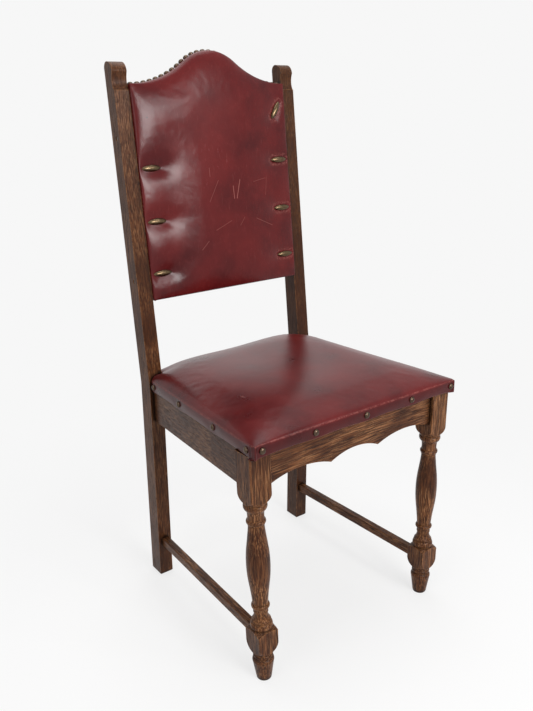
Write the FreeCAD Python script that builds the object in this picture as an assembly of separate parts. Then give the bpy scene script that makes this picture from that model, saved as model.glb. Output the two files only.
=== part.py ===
import FreeCAD, Part
import math
import os

# An old oak dining chair with turned front legs, raked rear posts, a scalloped front rail,
# two side stretchers, a leather covered seat and a padded leather back panel with an arched crest.
# Millimetres. +Z is up, the front faces -Y and +X is to the right as seen from the front.
# While modelling, Y is measured from the axes of the front legs. At the end everything is moved
# so that the origin lies on the floor under the middle of the chair.

V = FreeCAD.Vector
UP = V(0, 0, 1)
ACROSS = V(1, 0, 0)
loft_degree = 3

# Overall frame
seat_height = 460.0
seat_fall = 12.5
seat_depth = 418.0
seat_overhang = 11.7
seat_past_post_face = 31.8
leg_inset_from_corner = 31.5
front_leg_lean = 10.8
post_proud_of_seat = 4.4
post_foot_set_back = 16.7
kink_height = 435.0
post_height = 977.4
post_rake = 48.0

# Timber sections
leg_square = 40.4
post_width = 28.6
post_depth_at_floor = 37.0
post_depth_at_kink = 36.0
post_depth_at_top = 30.0
post_foot_chamfer = 3.0
edge_wear = 1.2
rail_thickness = 20.0
rail_height = 65.0
rear_rail_height = 60.0
rear_rail_thickness = 18.0
front_rail_recess = 8.0
side_rail_recess_at_leg = 6.5
side_rail_recess_at_post = 8.0
rear_rail_recess = 3.0

# Joints in the frame
tenon_thickness = 8.0
tenon_length = 17.5
tenon_shoulder = 9.0
front_tenon_offset = 4.5
joint_clearance = 0.1
tenon_end_gap = 1.0
overrun = 60.0

# Turned front leg, from the floor up
foot_height = 56.0
lower_block_height = 50.0
baluster_height = 243.0
block_corner_share = 1.385
lower_shoulder_height = 20.0
upper_shoulder_height = 13.0
block_top_slope_height = 6.0

# Height share of its stretch, radius share of half the leg's square, and whether the point is
# only passed by an arc on the way to the next one
foot_shares = (
    (0.00, 0.625, False),
    (0.03, 0.665, False),
    (0.64, 0.925, False),
    (0.74, 0.915, True),
    (0.80, 0.780, False),
    (0.82, 0.780, False),
    (0.875, 0.865, True),
    (0.93, 0.790, False),
    (1.00, 0.800, False),
)
baluster_shares = (
    (0.000, 0.880, False),
    (0.024, 0.970, True),
    (0.049, 0.860, False),
    (0.052, 0.800, False),
    (0.061, 0.850, True),
    (0.070, 0.770, False),
    (0.097, 0.630, True),
    (0.128, 0.570, False),
    (0.129, 0.640, False),
    (0.140, 0.640, False),
    (0.144, 0.600, False),
    (0.162, 0.620, False),
    (0.181, 0.790, True),
    (0.199, 0.645, False),
    (0.206, 0.665, False),
    (0.280, 0.745, True),
    (0.354, 0.860, False),
    (0.518, 1.005, True),
    (0.675, 0.870, False),
    (0.747, 0.755, True),
    (0.819, 0.665, False),
    (0.823, 0.640, False),
    (0.825, 0.715, False),
    (0.833, 0.715, False),
    (0.850, 0.820, True),
    (0.866, 0.710, False),
    (0.890, 0.690, True),
    (0.914, 0.710, False),
    (0.933, 0.780, True),
    (0.944, 0.900, False),
    (0.960, 0.985, True),
    (0.980, 0.970, False),
    (0.984, 0.920, False),
    (1.000, 0.950, False),
)

# Carved head of the rear post
head_rise = 47.5
cove_height = 31.0
cove_step = 1.6
cove_depth = 4.6
head_round_share = 0.52
head_back_drop = 12.0

# Scalloped lower edge of the front rail: three arches between two points
scallop_rise = 12.5
scallop_point_half_spacing = 54.5

# Side stretchers
stretcher_height = 18.0
stretcher_width = 15.0
stretcher_centre_height = 81.5
stretcher_tenon = 11.0
stretcher_tenon_length = 14.0
stretcher_inset_at_block = 3.0
stretcher_inset_at_post = 0.5

# Corner blocks under the seat and their screws
block_leg = 62.0
block_thickness = 28.0
block_post_gap = 3.0
block_drop = 6.0
screw_radius = 2.1
screw_head_radius = 4.0
screw_head_height = 2.6
screw_bite = 10.0
screw_clearance = 0.1
fastener_sides = 8
seat_screw_length = 46.0
seat_screw_from_side = 17.0
seat_screw_from_cross = 26.0

# Seat frame and upholstery
seat_front_half_width = 228.0
seat_rear_half_width = 194.8
seat_border = 21.5
leather = 1.6
seat_corner_radius = 10.0
seat_frame_thickness = 17.5
seat_member_width = 52.0
seat_turn_under = 15.0
seat_notch_clearance = 0.5
seat_tenon_thickness = 6.0
seat_tenon_length = 18.0
seat_tenon_width = 28.0
seat_tenon_shoulder = 4.5
seat_crown_at_front = 20.0
seat_crown_at_rear = 39.0
seat_draw_in = 2.5
soft_clearance = 0.3
webbing_width = 50.0
webbing_thickness = 1.4
webbing_lap = 24.0

# Share of the crown's height, and how far in from the border as a share of half the seat's width
seat_crown_shares = (
    (0.00, 0.000),
    (0.25, 0.014),
    (0.50, 0.060),
    (0.70, 0.140),
    (0.85, 0.240),
    (0.95, 0.350),
    (1.00, 0.470),
)

# Nails along the seat border, at shares of the front and of each side
nail_radius = 5.3
nail_rise = 2.9
nail_shank = 1.6
nail_length = 13.0
nail_clearance = 0.1
nail_dome_shares = ((1.00, 0.00), (0.86, 0.45), (0.56, 0.84), (0.20, 1.00))
front_nail_shares = (-0.923, -0.461, 0.026, 0.500, 0.952)
side_nail_shares = (0.050, 0.335, 0.678, 0.970)

# Padded back panel, measured along the slope of the rear posts above the kink
panel_bottom = 166.0
panel_side_height = 389.0
crest_rise = 59.0
crest_top_radius = 88.0
panel_side_gap = 0.8
panel_edge_proud = 4.6
panel_frame_depth = 20.0
panel_frame_setback = 2.6
panel_stile_width = 46.0
panel_rail_width = 50.0
crest_rail_below = 44.0
panel_corner_radius = 5.0
panel_crown = 12.5
panel_wrap_depth = 19.0
panel_tenon_thickness = 7.0
panel_tenon_length = 20.0
panel_tenon_width = 30.0
outside_leather = 1.2
outside_leather_margin = 4.0

# Share of the panel's crown, and how far in from the edge as a share of the crest's top radius
panel_crown_shares = (
    (0.00, 0.000),
    (0.25, 0.030),
    (0.50, 0.095),
    (0.70, 0.195),
    (0.87, 0.350),
    (1.00, 0.590),
)

# Long oval studs that pull the leather down, four rows, and the dimples around them
stud_length = 37.0
stud_width = 12.0
stud_from_edge = 24.0
stud_first_row = 49.0
stud_row_spacing = 96.5
stud_rows = 4
stud_turn = 58.0
stud_margin = 2.5
stud_pin = 1.8
stud_pin_length = 22.0
stud_seat_below_edge = 0.8
dimple_depth_shares = (0.00, 0.28, 0.62, 1.15)
dimple_spread_shares = (0.00, 0.28, 0.62, 1.30)
dimple_spread = 26.0

# Close row of domed nails along the top edge of the crest
crest_nail_pitch = 13.1
crest_nail_behind_edge = 12.5
crest_nail_end_gap = 6.5

# Long screws through the posts into the panel's stiles
panel_screw_length = 47.0
panel_screw_shares = (0.100, 0.765)

# Places worked out from the sizes above
half_leg = leg_square / 2
half_post = post_width / 2
leg_x = seat_front_half_width - leg_inset_from_corner
post_x = seat_rear_half_width + post_proud_of_seat - half_post
leg_slope = front_leg_lean / seat_height
leg_angle = math.degrees(math.atan(leg_slope))
rake_slope = post_rake / (post_height - kink_height)
rake_angle = math.degrees(math.atan(rake_slope))
fall_slope = seat_fall / (seat_depth - seat_overhang - half_leg)
fall_angle = math.degrees(math.atan(fall_slope))
seat_front = -half_leg - seat_overhang
seat_rear = seat_front + seat_depth
post_front_at_kink = seat_rear - seat_past_post_face
post_front_at_floor = post_front_at_kink + post_foot_set_back
lower_block_bottom = foot_height
lower_block_top = foot_height + lower_block_height
upper_block_bottom = lower_block_top + baluster_height
panel_half_width = post_x - half_post - panel_side_gap
panel_side_top = panel_bottom + panel_side_height
hollow_radius = ((panel_half_width ** 2 + crest_rise ** 2) / (2 * crest_rise)) - crest_top_radius
crest_turn = math.asin(panel_half_width / (hollow_radius + crest_top_radius))
crest_centre_z = panel_side_top + crest_rise - crest_top_radius
hollow_centre_z = panel_side_top + hollow_radius


def box(low, high):
    size = high.sub(low)
    return Part.makeBox(size.x, size.y, size.z, low)


def prism(points, direction):
    """A flat outline with straight sides, pushed along a direction."""
    loop = [V(*p) for p in points]
    return Part.Face(Part.makePolygon(loop + [loop[0]])).extrude(direction)


def edges_through(points, passed):
    """Lines between points, and an arc wherever the next point is only passed."""
    edges = []
    i = 0
    while i < len(points) - 1:
        if passed[i + 1]:
            edges.append(Part.Arc(points[i], points[i + 1], points[i + 2]).toShape())
            i += 2
        else:
            edges.append(Part.makeLine(points[i], points[i + 1]))
            i += 1
    return edges


def mirrored(shape):
    return shape.mirror(V(0, 0, 0), ACROSS)


def both_sides(shape):
    return Part.makeCompound([shape, mirrored(shape)])


def tilted_with_seat(shape):
    """Turns a shape modelled level, so that it falls towards the rear with the seat."""
    turned = shape.copy()
    turned.rotate(V(0, seat_front, seat_height), ACROSS, -fall_angle)
    return turned


def leaning_with_posts(shape):
    """Places a panel part: local Z runs up the slope from the kink, local Y is behind the post's face."""
    placed = shape.copy()
    placed.rotate(V(0, 0, 0), ACROSS, -rake_angle)
    placed.translate(V(0, post_front_at_kink, kink_height))
    return placed


def leaning_with_leg(shape):
    """Places a shape modelled round the Z axis on the right front leg's leaning axis."""
    placed = shape.copy()
    placed.rotate(V(0, 0, 0), V(0, 1, 0), leg_angle)
    placed.translate(V(leg_x, 0, 0))
    return placed


def above_frame():
    """The space above the plane that the rails and legs share under the seat."""
    level = seat_height - seat_border
    low = V(-seat_depth, seat_front - overrun, level)
    return tilted_with_seat(box(low, V(seat_depth, seat_rear + overrun, seat_height + overrun)))


def rail_slab(height):
    """A layer just under the seat that falls with it, as deep as a rail."""
    level = seat_height - seat_border
    low = V(-seat_depth, seat_front - overrun, level - height)
    return tilted_with_seat(box(low, V(seat_depth, seat_rear + overrun, level)))


# Front leg

def turning_points(shares, bottom, height):
    points = [V(r * half_leg, 0, bottom + h * height) for h, r, passed in shares]
    return points, [passed for h, r, passed in shares]


def front_leg_blank():
    """The turned leg with its two square blocks, round the Z axis, before mortising."""
    corner = half_leg * block_corner_share
    block_neck = foot_shares[-1][1] * half_leg
    collar = baluster_shares[-1][1] * half_leg
    foot, foot_passed = turning_points(foot_shares, 0, foot_height)
    mid, mid_passed = turning_points(baluster_shares, lower_block_top, baluster_height)
    lower_bulge = V((block_neck + corner) / 2 + edge_wear, 0, lower_block_bottom + lower_shoulder_height / 3)
    lower_corner = V(corner, 0, lower_block_bottom + lower_shoulder_height)
    slope_start = V(corner, 0, lower_block_top - block_top_slope_height)
    upper_bulge = V((collar + corner) / 2 + edge_wear, 0, upper_block_bottom + upper_shoulder_height / 3)
    upper_corner = V(corner, 0, upper_block_bottom + upper_shoulder_height)
    top = V(corner, 0, seat_height)
    sunk = V(foot[0].x, 0, -edge_wear)
    points = [V(0, 0, -edge_wear), sunk] + foot + [lower_bulge, lower_corner, slope_start]
    passed = [False, False] + foot_passed + [True, False, False]
    points += mid + [upper_bulge, upper_corner, top, V(0, 0, seat_height)]
    passed += mid_passed + [True, False, False, False]
    edges = edges_through(points, passed)
    edges.append(Part.makeLine(points[-1], points[0]))
    turned = Part.Face(Part.Wire(edges)).revolve(V(0, 0, 0), UP, 360)
    blocks = ((lower_block_bottom, lower_block_top), (upper_block_bottom, seat_height + edge_wear))
    for bottom, high in blocks:
        waste = box(V(-leg_square, -leg_square, bottom), V(leg_square, leg_square, high))
        square = box(V(-half_leg, -half_leg, bottom), V(half_leg, half_leg, high))
        turned = turned.cut(waste.cut(square))
    return turned


def leg_envelope():
    """The square that the leg's blocks fill, as a leaning column that shoulders are cut against."""
    column = box(V(-half_leg, -half_leg, 0), V(half_leg, half_leg, seat_height + overrun))
    return leaning_with_leg(column)


def front_leg():
    leg = leaning_with_leg(front_leg_blank())
    below = box(V(0, -leg_square, -overrun), V(seat_depth, leg_square, 0))
    leg = leg.cut(below).cut(above_frame())
    for mortise in (front_rail_tenon(joint_clearance, tenon_end_gap),
                    side_rail_front_tenon(joint_clearance, tenon_end_gap),
                    stretcher_front_tenon(joint_clearance, tenon_end_gap)):
        leg = leg.cut(mortise)
    return leg


# Rear post

def post_front(z):
    if z <= kink_height:
        return post_front_at_floor + (post_front_at_kink - post_front_at_floor) * z / kink_height
    return post_front_at_kink + rake_slope * (z - kink_height)


def post_column(margin):
    """The right post without its carved head, grown by a margin all round."""
    top = post_height + head_rise
    outline = [
        (0, post_front(0) - margin, 0),
        (0, post_front(kink_height) - margin, kink_height),
        (0, post_front(top) - margin, top),
        (0, post_front(top) + post_depth_at_top + margin, top),
        (0, post_front(kink_height) + post_depth_at_kink + margin, kink_height),
        (0, post_front(0) + post_depth_at_floor + margin, 0),
    ]
    column = prism(outline, V(post_width + 2 * margin, 0, 0))
    column.translate(V(post_x - half_post - margin, 0, 0))
    return column


def both_posts(margin):
    column = post_column(margin)
    return column.fuse(mirrored(column))


def post_side_outline():
    """The post seen from the side: kinked at the seat, with a cove and a rounded head on top."""
    ridge_z = post_height + cove_height
    top_z = post_height + head_rise
    front_top = post_front(top_z)
    back_top = front_top + post_depth_at_top
    back_z = top_z - head_back_drop
    points = [
        V(0, post_front(0), 0),
        V(0, post_front(kink_height), kink_height),
        V(0, post_front(post_height), post_height),
        V(0, post_front(post_height) + cove_step, post_height),
        V(0, post_front(post_height + cove_height / 2) + cove_depth, post_height + cove_height / 2),
        V(0, post_front(ridge_z), ridge_z),
        V(0, post_front(ridge_z) + post_depth_at_top * head_round_share / 3, (2 * top_z + ridge_z) / 3),
        V(0, front_top + post_depth_at_top * head_round_share, top_z),
        V(0, back_top - cove_step * 2, (2 * top_z + back_z) / 3),
        V(0, post_front(back_z) + post_depth_at_top, back_z),
        V(0, post_front(kink_height) + post_depth_at_kink, kink_height),
        V(0, post_front(0) + post_depth_at_floor, 0),
    ]
    passed = [False, False, False, False, True, False, True, False, True, False, False, False]
    edges = edges_through(points, passed)
    edges.append(Part.makeLine(points[-1], points[0]))
    return Part.Face(Part.Wire(edges))


def rear_post():
    post = post_side_outline().extrude(V(post_width, 0, 0))
    post.translate(V(post_x - half_post, 0, 0))
    foot = [edge for edge in post.Edges if edge.BoundBox.ZMax < edge_wear]
    post = post.makeChamfer(post_foot_chamfer, foot)
    for mortise in (side_rail_rear_tenon(joint_clearance, tenon_end_gap),
                    rear_rail_tenon(joint_clearance, tenon_end_gap),
                    stretcher_rear_tenon(joint_clearance, tenon_end_gap),
                    panel_screws_right(screw_clearance)):
        post = post.cut(mortise)
    return post


# Rails and stretchers, all modelled on the right side

def along(start, end, low, high):
    """A box whose local X runs from start towards end in plan, local Y to its left and local Z up."""
    angle = math.degrees(math.atan2(end.y - start.y, end.x - start.x))
    bar = box(low, high)
    bar.rotate(V(0, 0, 0), UP, angle)
    bar.translate(start)
    return bar


mid_rail_z = seat_height - seat_border - rail_height / 2
leg_outer_at_rail = leg_x + leg_slope * mid_rail_z + half_leg
rail_front_point = V(leg_outer_at_rail - side_rail_recess_at_leg - rail_thickness / 2, 0, 0)
rail_rear_point = V(post_x + half_post - side_rail_recess_at_post - rail_thickness / 2,
                    post_front(kink_height - rail_height / 2), 0)
rail_run = rail_rear_point.sub(rail_front_point).Length
front_rail_face = -half_leg + front_rail_recess


def frame_level(y):
    """Height of the plane under the seat that the rails and legs are cut to."""
    return seat_height - seat_border - fall_slope * (y - seat_front)


def tenon_levels(y, clearance, height):
    level = frame_level(y)
    return level - height + tenon_shoulder - clearance, level - tenon_shoulder + clearance


def side_rail_front_tenon(clearance, extra):
    bottom, top = tenon_levels(half_leg, clearance, rail_height)
    low = V(half_leg - tenon_length - extra, -tenon_thickness / 2 - clearance, bottom)
    high = V(half_leg + tenon_shoulder, tenon_thickness / 2 + clearance, top)
    return along(rail_front_point, rail_rear_point, low, high)


def side_rail_rear_tenon(clearance, extra):
    bottom, top = tenon_levels(rail_rear_point.y, clearance, rail_height)
    low = V(rail_run - tenon_shoulder, -tenon_thickness / 2 - clearance, bottom)
    high = V(rail_run + tenon_length + extra, tenon_thickness / 2 + clearance, top)
    return along(rail_front_point, rail_rear_point, low, high)


def side_rail():
    low = V(0, -rail_thickness / 2, 0)
    high = V(rail_run + tenon_length, rail_thickness / 2, seat_height)
    bar = along(rail_front_point, rail_rear_point, low, high).common(rail_slab(rail_height))
    bar = bar.cut(leg_envelope()).cut(post_column(0))
    bar = solid_nearest(bar, V(post_x, post_front_at_kink / 2, mid_rail_z))
    bar = bar.fuse(side_rail_front_tenon(0, 0)).fuse(side_rail_rear_tenon(0, 0)).removeSplitter()
    return bar.cut(block_screws_right(screw_clearance))


def front_rail_tenon(clearance, extra):
    inner = leg_x + leg_slope * mid_rail_z - half_leg
    y = front_rail_face + front_tenon_offset
    bottom, top = tenon_levels(y, clearance, rail_height)
    low = V(inner - tenon_shoulder, y - clearance, bottom)
    high = V(inner + tenon_length + extra, y + tenon_thickness + clearance, top)
    return box(low, high)


def scallop_outline():
    """The rail seen from the front: straight on top, three arches below."""
    end = leg_x + leg_square
    top = seat_height
    base = seat_height - seat_border - rail_height
    crown = base + scallop_rise
    tip = scallop_point_half_spacing
    inner = leg_x + leg_slope * mid_rail_z - half_leg
    side_mid = (tip + inner) / 2
    points = [
        V(-end, 0, top), V(-end, 0, base), V(-inner, 0, base), V(-side_mid, 0, crown), V(-tip, 0, base),
        V(0, 0, crown), V(tip, 0, base), V(side_mid, 0, crown), V(inner, 0, base), V(end, 0, base),
        V(end, 0, top),
    ]
    passed = [False, False, False, True, False, True, False, True, False, False, False]
    edges = edges_through(points, passed)
    edges.append(Part.makeLine(points[-1], points[0]))
    return Part.Face(Part.Wire(edges))


def front_rail():
    bar = scallop_outline().extrude(V(0, rail_thickness, 0))
    bar.translate(V(0, front_rail_face, 0))
    bar = bar.cut(above_frame()).cut(leg_envelope()).cut(mirrored(leg_envelope()))
    bar = solid_nearest(bar, V(0, front_rail_face, mid_rail_z))
    tenon = front_rail_tenon(0, 0)
    bar = bar.fuse(tenon).fuse(mirrored(tenon)).removeSplitter()
    screws = block_screws_right(screw_clearance)
    return bar.cut(screws).cut(mirrored(screws))


rear_rail_back = post_front_at_kink + post_depth_at_kink - rear_rail_recess
rear_rail_front = rear_rail_back - rear_rail_thickness


def rear_rail_tenon(clearance, extra):
    inner = post_x - half_post
    y = rear_rail_back - tenon_thickness - front_tenon_offset / 2
    bottom, top = tenon_levels(y, clearance, rear_rail_height)
    low = V(inner - tenon_shoulder, y - clearance, bottom)
    high = V(inner + tenon_length + extra, y + tenon_thickness + clearance, top)
    return box(low, high)


def rear_rail():
    low = V(-post_x, rear_rail_front, 0)
    bar = box(low, V(post_x, rear_rail_back, seat_height)).common(rail_slab(rear_rail_height))
    bar = bar.cut(post_column(0)).cut(mirrored(post_column(0)))
    tenon = rear_rail_tenon(0, 0)
    bar = bar.fuse(tenon).fuse(mirrored(tenon)).removeSplitter()
    screws = block_screws_right(screw_clearance)
    return bar.cut(screws).cut(mirrored(screws))


stretcher_front_point = V(leg_x + leg_slope * stretcher_centre_height - stretcher_inset_at_block, 0, 0)
stretcher_rear_point = V(post_x - stretcher_inset_at_post, post_front(stretcher_centre_height), 0)
stretcher_run = stretcher_rear_point.sub(stretcher_front_point).Length


def stretcher_front_tenon(clearance, extra):
    half = stretcher_tenon / 2 + clearance
    low = V(half_leg - stretcher_tenon_length - extra, -half, stretcher_centre_height - half)
    high = V(half_leg + tenon_shoulder, half, stretcher_centre_height + half)
    return along(stretcher_front_point, stretcher_rear_point, low, high)


def stretcher_rear_tenon(clearance, extra):
    half = stretcher_tenon / 2 + clearance
    low = V(stretcher_run - tenon_shoulder, -half, stretcher_centre_height - half)
    high = V(stretcher_run + stretcher_tenon_length + extra, half, stretcher_centre_height + half)
    return along(stretcher_front_point, stretcher_rear_point, low, high)


def side_stretcher():
    z = stretcher_centre_height
    low = V(0, -stretcher_width / 2, z - stretcher_height / 2)
    high = V(stretcher_run + tenon_length, stretcher_width / 2, z + stretcher_height / 2)
    bar = along(stretcher_front_point, stretcher_rear_point, low, high)
    corners = [edge for edge in bar.Edges if edge.Length > stretcher_run]
    bar = bar.makeChamfer(edge_wear, corners).cut(leg_envelope()).cut(post_column(0))
    bar = solid_nearest(bar, V(post_x, post_front_at_kink / 2, z))
    return bar.fuse(stretcher_front_tenon(0, 0)).fuse(stretcher_rear_tenon(0, 0)).removeSplitter()


def solid_nearest(shape, point):
    """The one solid of a cut shape whose centre is nearest a point."""
    return min(shape.Solids, key=lambda s: s.CenterOfMass.sub(point).Length)


# Corner blocks and screws

def rail_inner_x(y):
    share = y / rail_rear_point.y
    centre = rail_front_point.x + (rail_rear_point.x - rail_front_point.x) * share
    splay = math.atan2(rail_front_point.x - rail_rear_point.x, rail_rear_point.y)
    return centre - rail_thickness / 2 / math.cos(splay) - joint_clearance


front_block_y = front_rail_face + rail_thickness + joint_clearance
rear_block_y = rear_rail_front - joint_clearance
leg_inner_x = leg_x + leg_slope * mid_rail_z - half_leg
front_nose = rail_inner_x(front_block_y) - leg_inner_x + half_leg - front_block_y + block_post_gap
post_inner_x = post_x - half_post
rear_nose = rail_inner_x(rear_block_y) - post_inner_x + rear_block_y - post_front_at_kink + block_post_gap

# Each right-hand block: where its cross rail is, which way it reaches, and the nose that clears the leg
block_places = ((front_block_y, 1, front_nose), (rear_block_y, -1, rear_nose))


def corner_block(y, way, nose):
    """A screwed block in the corner between two rails, with its nose cut away to clear the leg."""
    near = y + way * nose
    far = y + way * (block_leg + nose)
    outer = rail_inner_x(y)
    points = [(outer - block_leg - nose, y), (outer - nose, y),
              (rail_inner_x(near), near), (rail_inner_x(far), far)]
    block = prism([(px, py, 0) for px, py in points], V(0, 0, seat_height))
    block = block.common(rail_slab(block_drop + block_thickness)).cut(rail_slab(block_drop))
    return block.cut(block_screws_right(screw_clearance)).cut(seat_screws_right(screw_clearance))


def fastener(rings):
    """A small round thing along Z, as flats between rings that each have a radius and a height."""
    loops = []
    for radius, z in rings:
        turns = [2 * math.pi * i / fastener_sides for i in range(fastener_sides)]
        corners = [V(radius * math.cos(turn), radius * math.sin(turn), z) for turn in turns]
        loops.append(Part.makePolygon(corners + [corners[0]]))
    return Part.makeLoft(loops, True, True)


def screw(point, direction, length, clearance):
    """A countersunk wood screw whose head's flat face is at a point. With clearance it is its hole."""
    head = screw_head_radius + clearance
    shank = screw_radius + clearance
    rings = [(head, 0), (shank, screw_head_height), (shank, length + clearance)]
    if clearance > 0:
        rings.insert(0, (head, -3 * screw_head_radius))
    shape = fastener(rings)
    shape.Placement = FreeCAD.Placement(point, FreeCAD.Rotation(UP, direction))
    return shape


def block_screws_right(clearance):
    """Two screws in each right-hand block: one into the cross rail, one into the side rail."""
    screws = []
    reach = block_leg / 2 - screw_head_radius
    for y, way, nose in block_places:
        side_y = y + way * (nose + block_leg / 2)
        level = frame_level(y) - block_drop - block_thickness / 2
        side_level = frame_level(side_y) - block_drop - block_thickness / 2
        cross_start = V(rail_inner_x(y) - nose - block_leg / 2, y + way * reach, level)
        side_start = V(rail_inner_x(side_y) - reach, side_y, side_level)
        screws.append(screw(cross_start, V(0, -way, 0), reach + screw_bite, clearance))
        screws.append(screw(side_start, ACROSS, reach + screw_bite, clearance))
    return Part.makeCompound(screws)


def seat_screws_right(clearance):
    """One long screw in each right-hand block, up into the seat frame."""
    screws = []
    for y, way, _ in block_places:
        at_y = y + way * seat_screw_from_cross
        depth = block_drop + block_thickness - screw_head_height / 2
        start = V(rail_inner_x(y) - seat_screw_from_side, at_y, frame_level(at_y) - depth)
        screws.append(screw(start, UP, seat_screw_length, clearance))
    return Part.makeCompound(screws)


# Soft forms: stacked outlines of lines and arcs, lofted

def lofted(loops):
    return Part.makeLoft(loops, True, False, False, loft_degree)


def corner_points(before, corner, after, radius):
    """Start, middle and end of a rounding arc at a corner of an outline."""
    to_before = before.sub(corner).normalize()
    to_after = after.sub(corner).normalize()
    half = to_before.getAngle(to_after) / 2
    along_side = radius / math.tan(half)
    inward = to_before.add(to_after).normalize()
    centre = corner.add(inward * (radius / math.sin(half)))
    return corner.add(to_before * along_side), centre.sub(inward * radius), corner.add(to_after * along_side)


def soft_loop(corners, radius, draw_in):
    """A closed outline with rounded corners and sides drawn in between them."""
    count = len(corners)
    centre = sum(corners, V(0, 0, 0)) * (1 / count)
    arcs = []
    for i in range(count):
        arcs.append(corner_points(corners[i - 1], corners[i], corners[(i + 1) % count], radius))
    edges = []
    for i in range(count):
        start, middle, end = arcs[i]
        following = arcs[(i + 1) % count][0]
        edges.append(Part.Arc(start, middle, end).toShape())
        halfway = (end + following) * (1 / 2)
        side = following.sub(end)
        inward = UP.cross(side).normalize()
        if inward.dot(centre.sub(halfway)) < 0:
            inward = inward.negative()
        if draw_in > 0:
            edges.append(Part.Arc(end, halfway.add(inward * draw_in), following).toShape())
        else:
            edges.append(Part.makeLine(end, following))
    return Part.Wire(edges)


def seat_corners(inset, z):
    """The seat's four corners in plan, moved in from its border."""
    taper = (seat_front_half_width - seat_rear_half_width) / (post_front_at_kink - seat_front)
    side = inset * math.sqrt(1 + taper ** 2)
    front = seat_front + inset
    rear = seat_rear - inset
    front_half = seat_front_half_width - taper * (front - seat_front) - side
    rear_half = seat_front_half_width - taper * (rear - seat_front) - side
    return [V(-front_half, front, z), V(front_half, front, z), V(rear_half, rear, z), V(-rear_half, rear, z)]


def seat_loop(inset, z, draw_in):
    return soft_loop(seat_corners(inset, z), seat_corner_radius + inset / 2, draw_in)


def seat_plate(inset, low, high):
    """A flat layer with the seat's outline."""
    return Part.Face(seat_loop(inset, low, 0)).extrude(V(0, 0, high - low))


def fitted_to_posts(shape, inset):
    """Tilts a level piece of the seat and cuts its rear corners out round the posts."""
    return tilted_with_seat(shape).cut(both_posts(inset + seat_notch_clearance))


def seat_form(inset):
    """The upholstered seat: a straight border, then a crown that is fuller at the rear.
    An inset gives the form that lies inside a skin of that thickness."""
    top = seat_height - inset
    loops = []
    for rise_share, inset_share in seat_crown_shares:
        z = top + seat_crown_at_front * rise_share
        loop = seat_loop(inset + seat_front_half_width * inset_share, z, seat_draw_in * rise_share)
        rise = (seat_crown_at_rear - seat_crown_at_front) * rise_share
        loop.rotate(V(0, seat_front, z), ACROSS, math.degrees(math.atan(rise / seat_depth)))
        loops.append(loop)
    border = seat_plate(inset, seat_height - seat_border + inset, top)
    return fitted_to_posts(border.fuse(lofted(loops)), inset)


def seat_cover():
    """The leather: over the crown, down the border and turned under the frame."""
    bottom = seat_height - seat_border
    opening = tilted_with_seat(seat_plate(seat_turn_under, bottom - leather, bottom + 2 * leather))
    return seat_form(0).cut(seat_form(leather)).cut(opening).cut(seat_nails(nail_clearance))


frame_bottom = seat_height - seat_border + leather + joint_clearance
frame_top = frame_bottom + seat_frame_thickness
frame_inset = leather + soft_clearance
front_member_y = seat_front + seat_member_width
rear_member_y = seat_rear - seat_member_width


def seat_frame_tenons(clearance):
    """Stub tenons at both ends of the right side member."""
    middle = (frame_bottom + frame_top) / 2
    half = seat_tenon_thickness / 2 + clearance
    corners = seat_corners(seat_member_width, 0)
    tenons = []
    for y, way, corner in ((front_member_y, -1, corners[1]), (rear_member_y, 1, corners[2])):
        inner = corner.x + seat_tenon_shoulder
        low_y, high_y = sorted((y - way * tenon_shoulder, y + way * (seat_tenon_length + clearance)))
        low = V(inner - clearance, low_y, middle - half)
        tenons.append(box(low, V(inner + seat_tenon_width + clearance, high_y, middle + half)))
    return tenons[0].fuse(tenons[1])


def seat_member(low_x, low_y, high_y):
    """One of the four timbers of the seat frame, still level."""
    plate = seat_plate(frame_inset, frame_bottom, frame_top)
    opening = prism(seat_corners(seat_member_width, frame_bottom - overrun), V(0, 0, 3 * overrun))
    window = box(V(low_x, low_y, 0), V(seat_front_half_width, high_y, seat_height + overrun))
    return plate.cut(opening).common(window)


def seat_frame_cross(low_y, high_y):
    tenons = seat_frame_tenons(joint_clearance)
    member = seat_member(-seat_front_half_width, low_y, high_y).cut(tenons).cut(mirrored(tenons))
    screws = both_sides(seat_screws_right(screw_clearance))
    return fitted_to_posts(member, frame_inset).cut(seat_nails(nail_clearance)).cut(screws)


def seat_frame_side():
    member = seat_member(0, front_member_y, rear_member_y).fuse(seat_frame_tenons(0)).removeSplitter()
    member = fitted_to_posts(member, frame_inset)
    return member.cut(seat_nails(nail_clearance)).cut(seat_screws_right(screw_clearance))


def seat_webbing():
    """Three strips from side to side, and three from front to back on top of them."""
    strips = []
    opening = seat_corners(seat_member_width, 0)
    front = opening[0].y
    rear = opening[2].y
    step = (rear - front) / 3
    for i in range(3):
        y = front + step * (i + 1 / 2)
        share = (y - front) / (rear - front)
        half = opening[1].x + (opening[2].x - opening[1].x) * share + webbing_lap
        strips.append(box(V(-half, y - webbing_width / 2, frame_top),
                          V(half, y + webbing_width / 2, frame_top + webbing_thickness)))
        x = (i - 1) * opening[2].x * 2 / 3
        strips.append(box(V(x - webbing_width / 2, front - webbing_lap, frame_top + webbing_thickness),
                          V(x + webbing_width / 2, rear + webbing_lap, frame_top + 2 * webbing_thickness)))
    return tilted_with_seat(Part.makeCompound(strips))


def seat_pad():
    """The stuffing: the crown's form inside the leather, flat where it lies on the webbing."""
    below = box(V(-seat_depth, seat_front - overrun, 0),
                V(seat_depth, seat_rear + overrun, frame_top + 2 * webbing_thickness + soft_clearance))
    return seat_form(leather + soft_clearance).cut(tilted_with_seat(below))


# Nails and studs

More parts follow.
